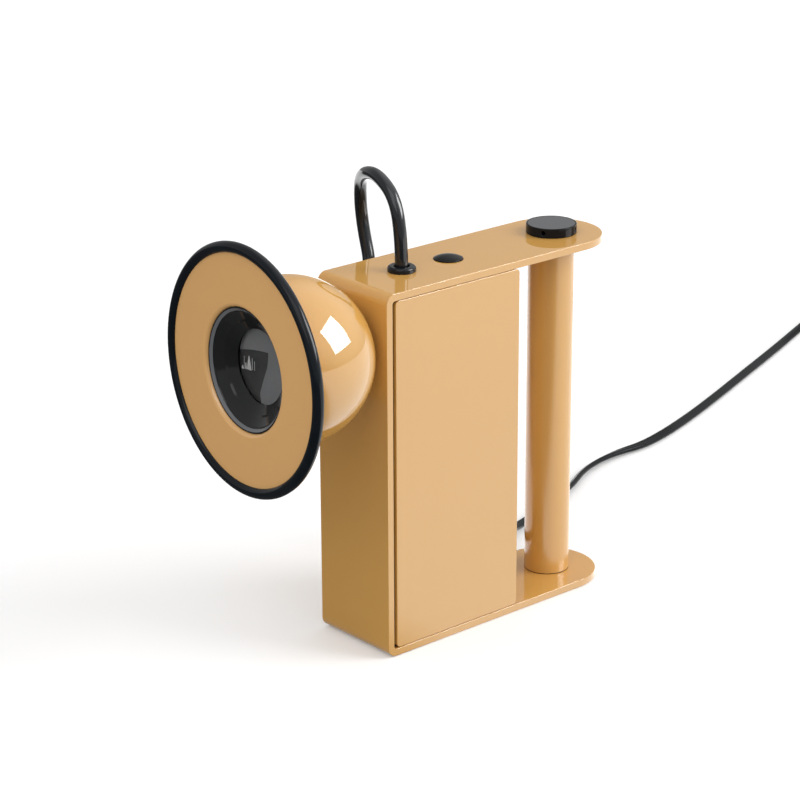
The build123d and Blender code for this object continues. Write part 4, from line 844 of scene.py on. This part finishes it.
def make_painted_reflection_disc():
    """A thin disc behind the window whose colours are painted reflections, held as the tint attribute.

    Its dark grey stands in for the dark things that the lens reflects, its crescent of lighter grey for the
    softbox's reflection. The crescent lies above z = 6.9 - 0.16 (y - 5) - 0.004 (y - 5)^2 or beyond a side
    through the points of CRESCENT_SIDE, and the mask rises from 0 to 1 over CRESCENT_BLUR.
    """
    radius = np.concatenate([[0.0], np.linspace(0.2, SHIELD_RADIUS, 103), [SHIELD_RADIUS, 0.0]])[:, None]
    depth = np.concatenate([np.full(104, SHIELD_FRONT), [SHIELD_BACK, SHIELD_BACK]])[:, None]
    angle = full_turn(256)
    grid = np.stack([depth + 0 * angle, radius * np.cos(angle), radius * np.sin(angle)], 2)
    disc = skin("painted_reflection_disc", on_head(grid))
    flat = np.empty(3 * len(disc.data.vertices))
    disc.data.vertices.foreach_get("co", flat)
    own = (flat.reshape(-1, 3) - row(BALL_AT)) / MM @ (turn_z(HEAD_TURN) @ turn_y(HEAD_TILT))
    y, z = own[:, 1], own[:, 2]
    over = z - (6.9 - 0.16 * (y - 5.0) - 0.004 * (y - 5.0) ** 2)
    side = np.interp(z, *CRESCENT_SIDE) - y
    crescent = np.clip(np.maximum(over, side) / CRESCENT_BLUR + 0.5, 0, 1)
    tint = disc.data.attributes.new("tint", "FLOAT", "POINT")
    tint.data.foreach_set("value", crescent.astype(np.float32))
    return crisp(disc)


# bright white strokes in front of the disc: painted glints that stand in for the bulb's reflection in the lens
GLINT_STROKE_AT, GLINT_STROKE_FLATNESS, GLINT_STROKE_EDGE = -15.85, 0.2, 0.1
GLINT_STROKES = (  # place across, foot, tip, foot's radius and tip's radius
    (16.9, -5.6, -3.7, 1.0, 0.5), (15.4, -5.4, 1.5, 0.18, 0.15), (13.9, -5.1, -1.6, 0.7, 0.4),
    (11.0, -4.6, 2.8, 2.1, 0.35), (8.2, -4.1, 2.2, 0.25, 0.2), (6.2, -3.8, 1.0, 0.22, 0.18))


def make_glint_strokes():
    """Painted glints: bright white flat cones with a rounded tip in front of the disc, standing in for the bulb's
    reflection in the lens.
    """
    rods = []
    for y, low, high, radius, tip in GLINT_STROKES:
        section = np.concatenate([[(low, 0.0), (low, radius - GLINT_STROKE_EDGE), (low + GLINT_STROKE_EDGE, radius)],
                                  arc((high - tip, 0), tip, 80, 0, 6)])
        rods.append(lathe("contact", section, lambda grid, y=y: on_head(
            grid[..., [1, 2, 0]] * (GLINT_STROKE_FLATNESS, 1, 1) + (GLINT_STROKE_AT, y, 0.0)), 24, closed=False))
    return rods


# the crescent's grey is a painted reflection of the softbox in the lens
PAINTED_REFLECTION_GREY = (0.30, 0.305, 0.313)


def add_painted_reflection_finish():
    """Dark grey gloss where the reflection mask is 0 and the lighter grey of the painted softbox reflection where it
    is 1, added to the finishes.
    """
    material = finish_of("painted_reflection_disc", (0.068, 0.068, 0.069), 0.2, (60.0, 0.1), 0.03, (900.0, 4e-6, 0.3), 1.2)
    nodes, links = material.node_tree.nodes, material.node_tree.links
    shader = nodes["Principled BSDF"]
    drift = shader.inputs["Base Color"].links[0].from_socket
    tint, pick = nodes.new("ShaderNodeAttribute"), nodes.new("ShaderNodeMix")
    tint.attribute_name = "tint"
    pick.data_type = "RGBA"
    links.new(tint.outputs["Fac"], pick.inputs["Factor"])
    links.new(drift, pick.inputs[6])
    pick.inputs[7].default_value = (*PAINTED_REFLECTION_GREY, 1)
    links.new(pick.outputs[2], shader.inputs["Base Color"])
    FINISHES["painted_reflection_disc"] = material


# the disc behind the window with its painted reflections, and the painted glints in front of it
add_painted_reflection_finish()
add(make_painted_reflection_disc(), "head", "painted_reflection_disc", "black_metal")
for rod in make_glint_strokes():
    add(rod, "head", "contact_metal", "emitter")
add(make_funnel(), "head", "funnel_black", "black_metal", "lamp_cup")
add(make_bezel(), "head", "bezel_grey", "black_metal", "lamp_cup")
add(make_glass(), "head", "lamp_glass", "clear_glass", "cover_glass")
add(make_bowl(), "head", "reflector_grey", "mirror_alu", "reflector_bowl")


# ---- elbow, grommet and boot
NECK_FROM, NECK_TO, NECK_RADIUS, COLLAR_RADIUS = 40.0, 44.0, 6.0, 7.0
BEND_FROM, BEND_RADIUS = 45.5, 6.0
ARM_FROM, ARM_TO, ARM_RADIUS, ARM_TAPER, ARM_RING, ARM_RINGS = 6.3, 20.0, 6.9, 2.2, 0.32, 5
SHOULDER_RADIUS, STRAIGHT_FROM, RINGS_END, TIP_STEP = 6.6, 6.6, 0.92, 0.35


def make_elbow():
    """A round section whose radius changes along a bent line, closed at both ends.

    The line leaves the ball along Y, turns through a quarter circle and runs back along X. The radius
    is that of the neck up to the ball, then of the collar, and tapers in rings along the arm:
    6.9 - 2.2 u - 0.16 (1 - cos(10 pi u)), where u goes from 0 to 1 and the rings end at 0.92.
    """
    bend = np.radians(np.linspace(0, 90, 17))
    line = np.concatenate([
        [(0, NECK_FROM, 0), (0, NECK_TO, 0), (0, NECK_TO + 0.1, 0), (0, NECK_TO + 0.4, 0)],
        np.column_stack([BEND_RADIUS - BEND_RADIUS * np.cos(bend), BEND_FROM + BEND_RADIUS * np.sin(bend), 0 * bend]),
        [(x, BEND_FROM + BEND_RADIUS, 0) for x in np.linspace(STRAIGHT_FROM, ARM_TO, 60)]])
    radius = np.full(len(line), COLLAR_RADIUS)
    radius[:3] = NECK_RADIUS, NECK_RADIUS, SHOULDER_RADIUS
    arm = line[:, 0] > ARM_FROM
    u = (line[arm, 0] - ARM_FROM) / (ARM_TO - ARM_FROM)
    rings = ARM_RING / 2 * (1 - np.cos(2 * ARM_RINGS * math.pi * u)) * (u < RINGS_END)
    radius[arm] = ARM_RADIUS - ARM_TAPER * u - rings
    radius[-1] -= TIP_STEP
    return crisp(skin("head_elbow", on_elbow(round_bar(line, radius, 64))), 50.0)


GROMMET_LOW, GROMMET_TOP, GROMMET_COLLAR, GROMMET_NECK, GROMMET_BORE = 194.5, 203.0, 7.5, 5.5, 4.2


def make_grommet():
    """A collar with a rounded shoulder on a neck through the plate, with a bore for the lead."""
    under, collar, neck, bore = HEIGHT - PLATE, GROMMET_COLLAR, GROMMET_NECK, GROMMET_BORE
    section = rounded([(GROMMET_LOW, bore), (GROMMET_LOW, collar), (under, collar), (under, neck), (HEIGHT, neck),
                       (HEIGHT, collar), (GROMMET_TOP, collar), (GROMMET_TOP, bore)],
                      [0.1, 0.3, 0.1, 0.1, 0.1, 0.25, 1.5, 0.7], 7)
    return crisp(lathe("lead_collar", section, upright(GROMMET_X), 96), 40.0)


BOOT_Y, BOOT_Z = 10.5, 20.0
BOOT_COLLAR = ((85.0, 0.0), (85.0, 5.4), (90.5, 5.4), (90.5, 5.75), (90.65, 5.9), (92.2, 5.9), (92.5, 5.6),
               (92.5, 5.0))
BOOT_TIP = ((110.9, 3.35), (111.0, 3.1), (111.0, 0.0))
SLEEVE_FROM, SLEEVE_LENGTH, SLEEVE_RADIUS, SLEEVE_TAPER, SLEEVE_RING, SLEEVE_RINGS = 92.5, 18.5, 4.9, 1.4, 0.5, 6
SLEEVE_SPAN, FADE_END, FADE_RATE = (92.7, 110.6), 0.93, 8


def make_boot():
    """A collar and a tapered sleeve with rings, turned about the lead's axis.

    The sleeve's radius is 4.9 - 1.4 u - 0.25 (1 - cos(12 pi u)), where u goes from 0 to 1 and the
    rings fade out towards the tip.
    """
    x = np.linspace(*SLEEVE_SPAN, 90)
    u = (x - SLEEVE_FROM) / SLEEVE_LENGTH
    rings = SLEEVE_RING / 2 * (1 - np.cos(2 * SLEEVE_RINGS * math.pi * u)) * np.clip((FADE_END - u) * FADE_RATE, 0, 1)
    sleeve = np.column_stack([x, SLEEVE_RADIUS - SLEEVE_TAPER * u - rings])
    section = np.concatenate([BOOT_COLLAR, sleeve, BOOT_TIP])
    return crisp(lathe("mains_sleeve", section, lambda grid: row(grid + (0.0, BOOT_Y, BOOT_Z)), 72, closed=False),
                 45.0)


add(make_elbow(), "cord_elbow", "moulded_black", "black_plastic", "lead_elbow")
add(make_grommet(), "base", "gloss_rubber", "rubber", "lead_grommet")
add(make_boot(), "base", "black_rubber", "rubber", "mains_boot")


# ---- floor, world and lamps
ROOM_FRONT, ROOM_SPAN, ROOM_LEVELS, ROOM_PLAIN = (0.50, -0.35, 0.79), (0.32, 0.85), (0.56, 1.5), (0.77, 0.78)
TABLE_FRONT, TABLE_SPAN, TABLE_LEVELS = (1.0, 0.0, 0.0), (-0.10, -0.03), (0.12, 1.9)
FLOOR_HALF, FLOOR_TONES = 5.0, (0.52, 0.83)
GLOW_SPAN, GLOW_LEVELS = (0.6, 3.0), (0.155, 0.45)
SOFTBOX_WAY, SOFTBOX_SIZE, SOFTBOX_POWER = (0.558, -0.574, 0.460), 1.84, 60.0
SHEEN_REACH, SHEEN_POWER = 3.18, 92.0  # a little nearer, because a lamp hides one at the same distance
FILL_WAY, FILL_SIZE, FILL_POWER = (-0.60, -0.30, 0.68), 2.4, 30.0
LAMP_REACH = 3.2


def ranged(nodes, links, value, levels, span=(0.0, 1.0)):
    """A MapRange node that takes the value over the span to the levels."""
    node = nodes.new("ShaderNodeMapRange")
    links.new(value, node.inputs["Value"])
    node.inputs["From Min"].default_value, node.inputs["From Max"].default_value = span
    node.inputs["To Min"].default_value, node.inputs["To Max"].default_value = levels
    return node


def seen_level(nodes, links, vector, front, span, room_levels):
    """A strength's last two mixes: 1 for camera and transmission rays, the room for glossy rays.

    The first mix's input 2 is left to the caller: it is the level for diffuse rays. The room is bright
    ahead of the lamp and dim behind it, by the vector's part along front, over the span given.
    """
    rays, ahead = nodes.new("ShaderNodeLightPath"), nodes.new("ShaderNodeVectorMath")
    ahead.operation = "DOT_PRODUCT"
    ahead.inputs[1].default_value = front
    links.new(vector, ahead.inputs[0])
    room = ranged(nodes, links, ahead.outputs["Value"], room_levels, span)
    room.interpolation_type = "SMOOTHSTEP"
    straight = nodes.new("ShaderNodeMath")
    straight.operation = "MAXIMUM"
    links.new(rays.outputs["Is Camera Ray"], straight.inputs[0])
    links.new(rays.outputs["Is Transmission Ray"], straight.inputs[1])
    white, gloss = nodes.new("ShaderNodeMix"), nodes.new("ShaderNodeMix")
    links.new(straight.outputs[0], white.inputs["Factor"])
    white.inputs[3].default_value = 1.0
    links.new(rays.outputs["Is Glossy Ray"], gloss.inputs["Factor"])
    links.new(white.outputs[0], gloss.inputs[2])
    links.new(room.outputs["Result"], gloss.inputs[3])
    return white, gloss.outputs[0], rays


def add_floor():
    """White to the camera with the lamp's shadow, a plain tone to diffuse rays, the room's level to glossy ones."""
    half = FLOOR_HALF
    mesh = bpy.data.meshes.new("floor")
    mesh.from_pydata([(-half, -half, 0), (half, -half, 0), (half, half, 0), (-half, half, 0)], [], [(0, 1, 2, 3)])
    floor = link(mesh)
    material = bpy.data.materials.new("pale_floor")
    material.use_nodes = True
    nodes, links = material.node_tree.nodes, material.node_tree.links
    nodes.clear()
    place = nodes.new("ShaderNodeTexCoord").outputs["Object"]
    white, level, rays = seen_level(nodes, links, place, TABLE_FRONT, TABLE_SPAN, TABLE_LEVELS)
    white.inputs[2].default_value = 0.0
    plain, glow = nodes.new("ShaderNodeBsdfDiffuse"), nodes.new("ShaderNodeEmission")
    links.new(ranged(nodes, links, level, FLOOR_TONES).outputs["Result"], plain.inputs["Color"])
    away = nodes.new("ShaderNodeVectorMath")
    away.operation = "LENGTH"
    links.new(place, away.inputs[0])
    links.new(ranged(nodes, links, away.outputs["Value"], GLOW_LEVELS, GLOW_SPAN).outputs["Result"],
              glow.inputs["Strength"])
    links.new(level, glow.inputs["Color"])
    both, dim, pick, out = (nodes.new("ShaderNodeAddShader"), nodes.new("ShaderNodeEmission"),
                            nodes.new("ShaderNodeMixShader"), nodes.new("ShaderNodeOutputMaterial"))
    links.new(plain.outputs[0], both.inputs[0])
    links.new(glow.outputs[0], both.inputs[1])
    links.new(level, dim.inputs["Strength"])
    links.new(rays.outputs["Is Glossy Ray"], pick.inputs["Fac"])
    links.new(both.outputs[0], pick.inputs[1])
    links.new(dim.outputs[0], pick.inputs[2])
    links.new(pick.outputs[0], out.inputs["Surface"])
    floor.data.materials.append(material)


def add_world():
    """White to the camera, a plain level to diffuse rays that rises a little with height, the room to glossy ones."""
    world = bpy.data.worlds.new("white_room")
    bpy.context.scene.world = world
    world.use_nodes = True
    nodes, links = world.node_tree.nodes, world.node_tree.links
    shade = nodes["Background"]
    shade.inputs["Color"].default_value = (1, 1, 1, 1)
    way = nodes.new("ShaderNodeTexCoord").outputs["Generated"]
    parts = nodes.new("ShaderNodeSeparateXYZ")
    links.new(way, parts.inputs["Vector"])
    white, level, _ = seen_level(nodes, links, way, ROOM_FRONT, ROOM_SPAN, ROOM_LEVELS)
    links.new(ranged(nodes, links, parts.outputs["Z"], ROOM_PLAIN).outputs["Result"], white.inputs[2])
    links.new(level, shade.inputs["Strength"])


def add_softbox(name, away, size, power, reach=LAMP_REACH, gloss_only=False):
    """A square lamp that faces the ball; away is the way to it from the ball, reach how far."""
    away = np.array(away) / np.linalg.norm(away)
    data = bpy.data.lights.new(name, "AREA")
    data.shape = "SQUARE"
    data.size, data.energy = size, power
    lamp = link(data)
    side = np.cross((0.0, 0.0, 1.0), away)
    side /= np.linalg.norm(side)
    stand(lamp, side, np.cross(away, side), away, row(BALL_AT) + reach * away)
    lamp.visible_diffuse = not gloss_only
    lamp.visible_camera = False


add_floor()
add_world()
add_softbox("softbox", SOFTBOX_WAY, SOFTBOX_SIZE, SOFTBOX_POWER)
add_softbox("softbox_sheen", SOFTBOX_WAY, SOFTBOX_SIZE, SHEEN_POWER, SHEEN_REACH, gloss_only=True)
add_softbox("fill", FILL_WAY, FILL_SIZE, FILL_POWER)
bpy.context.scene.view_settings.view_transform = "Standard"
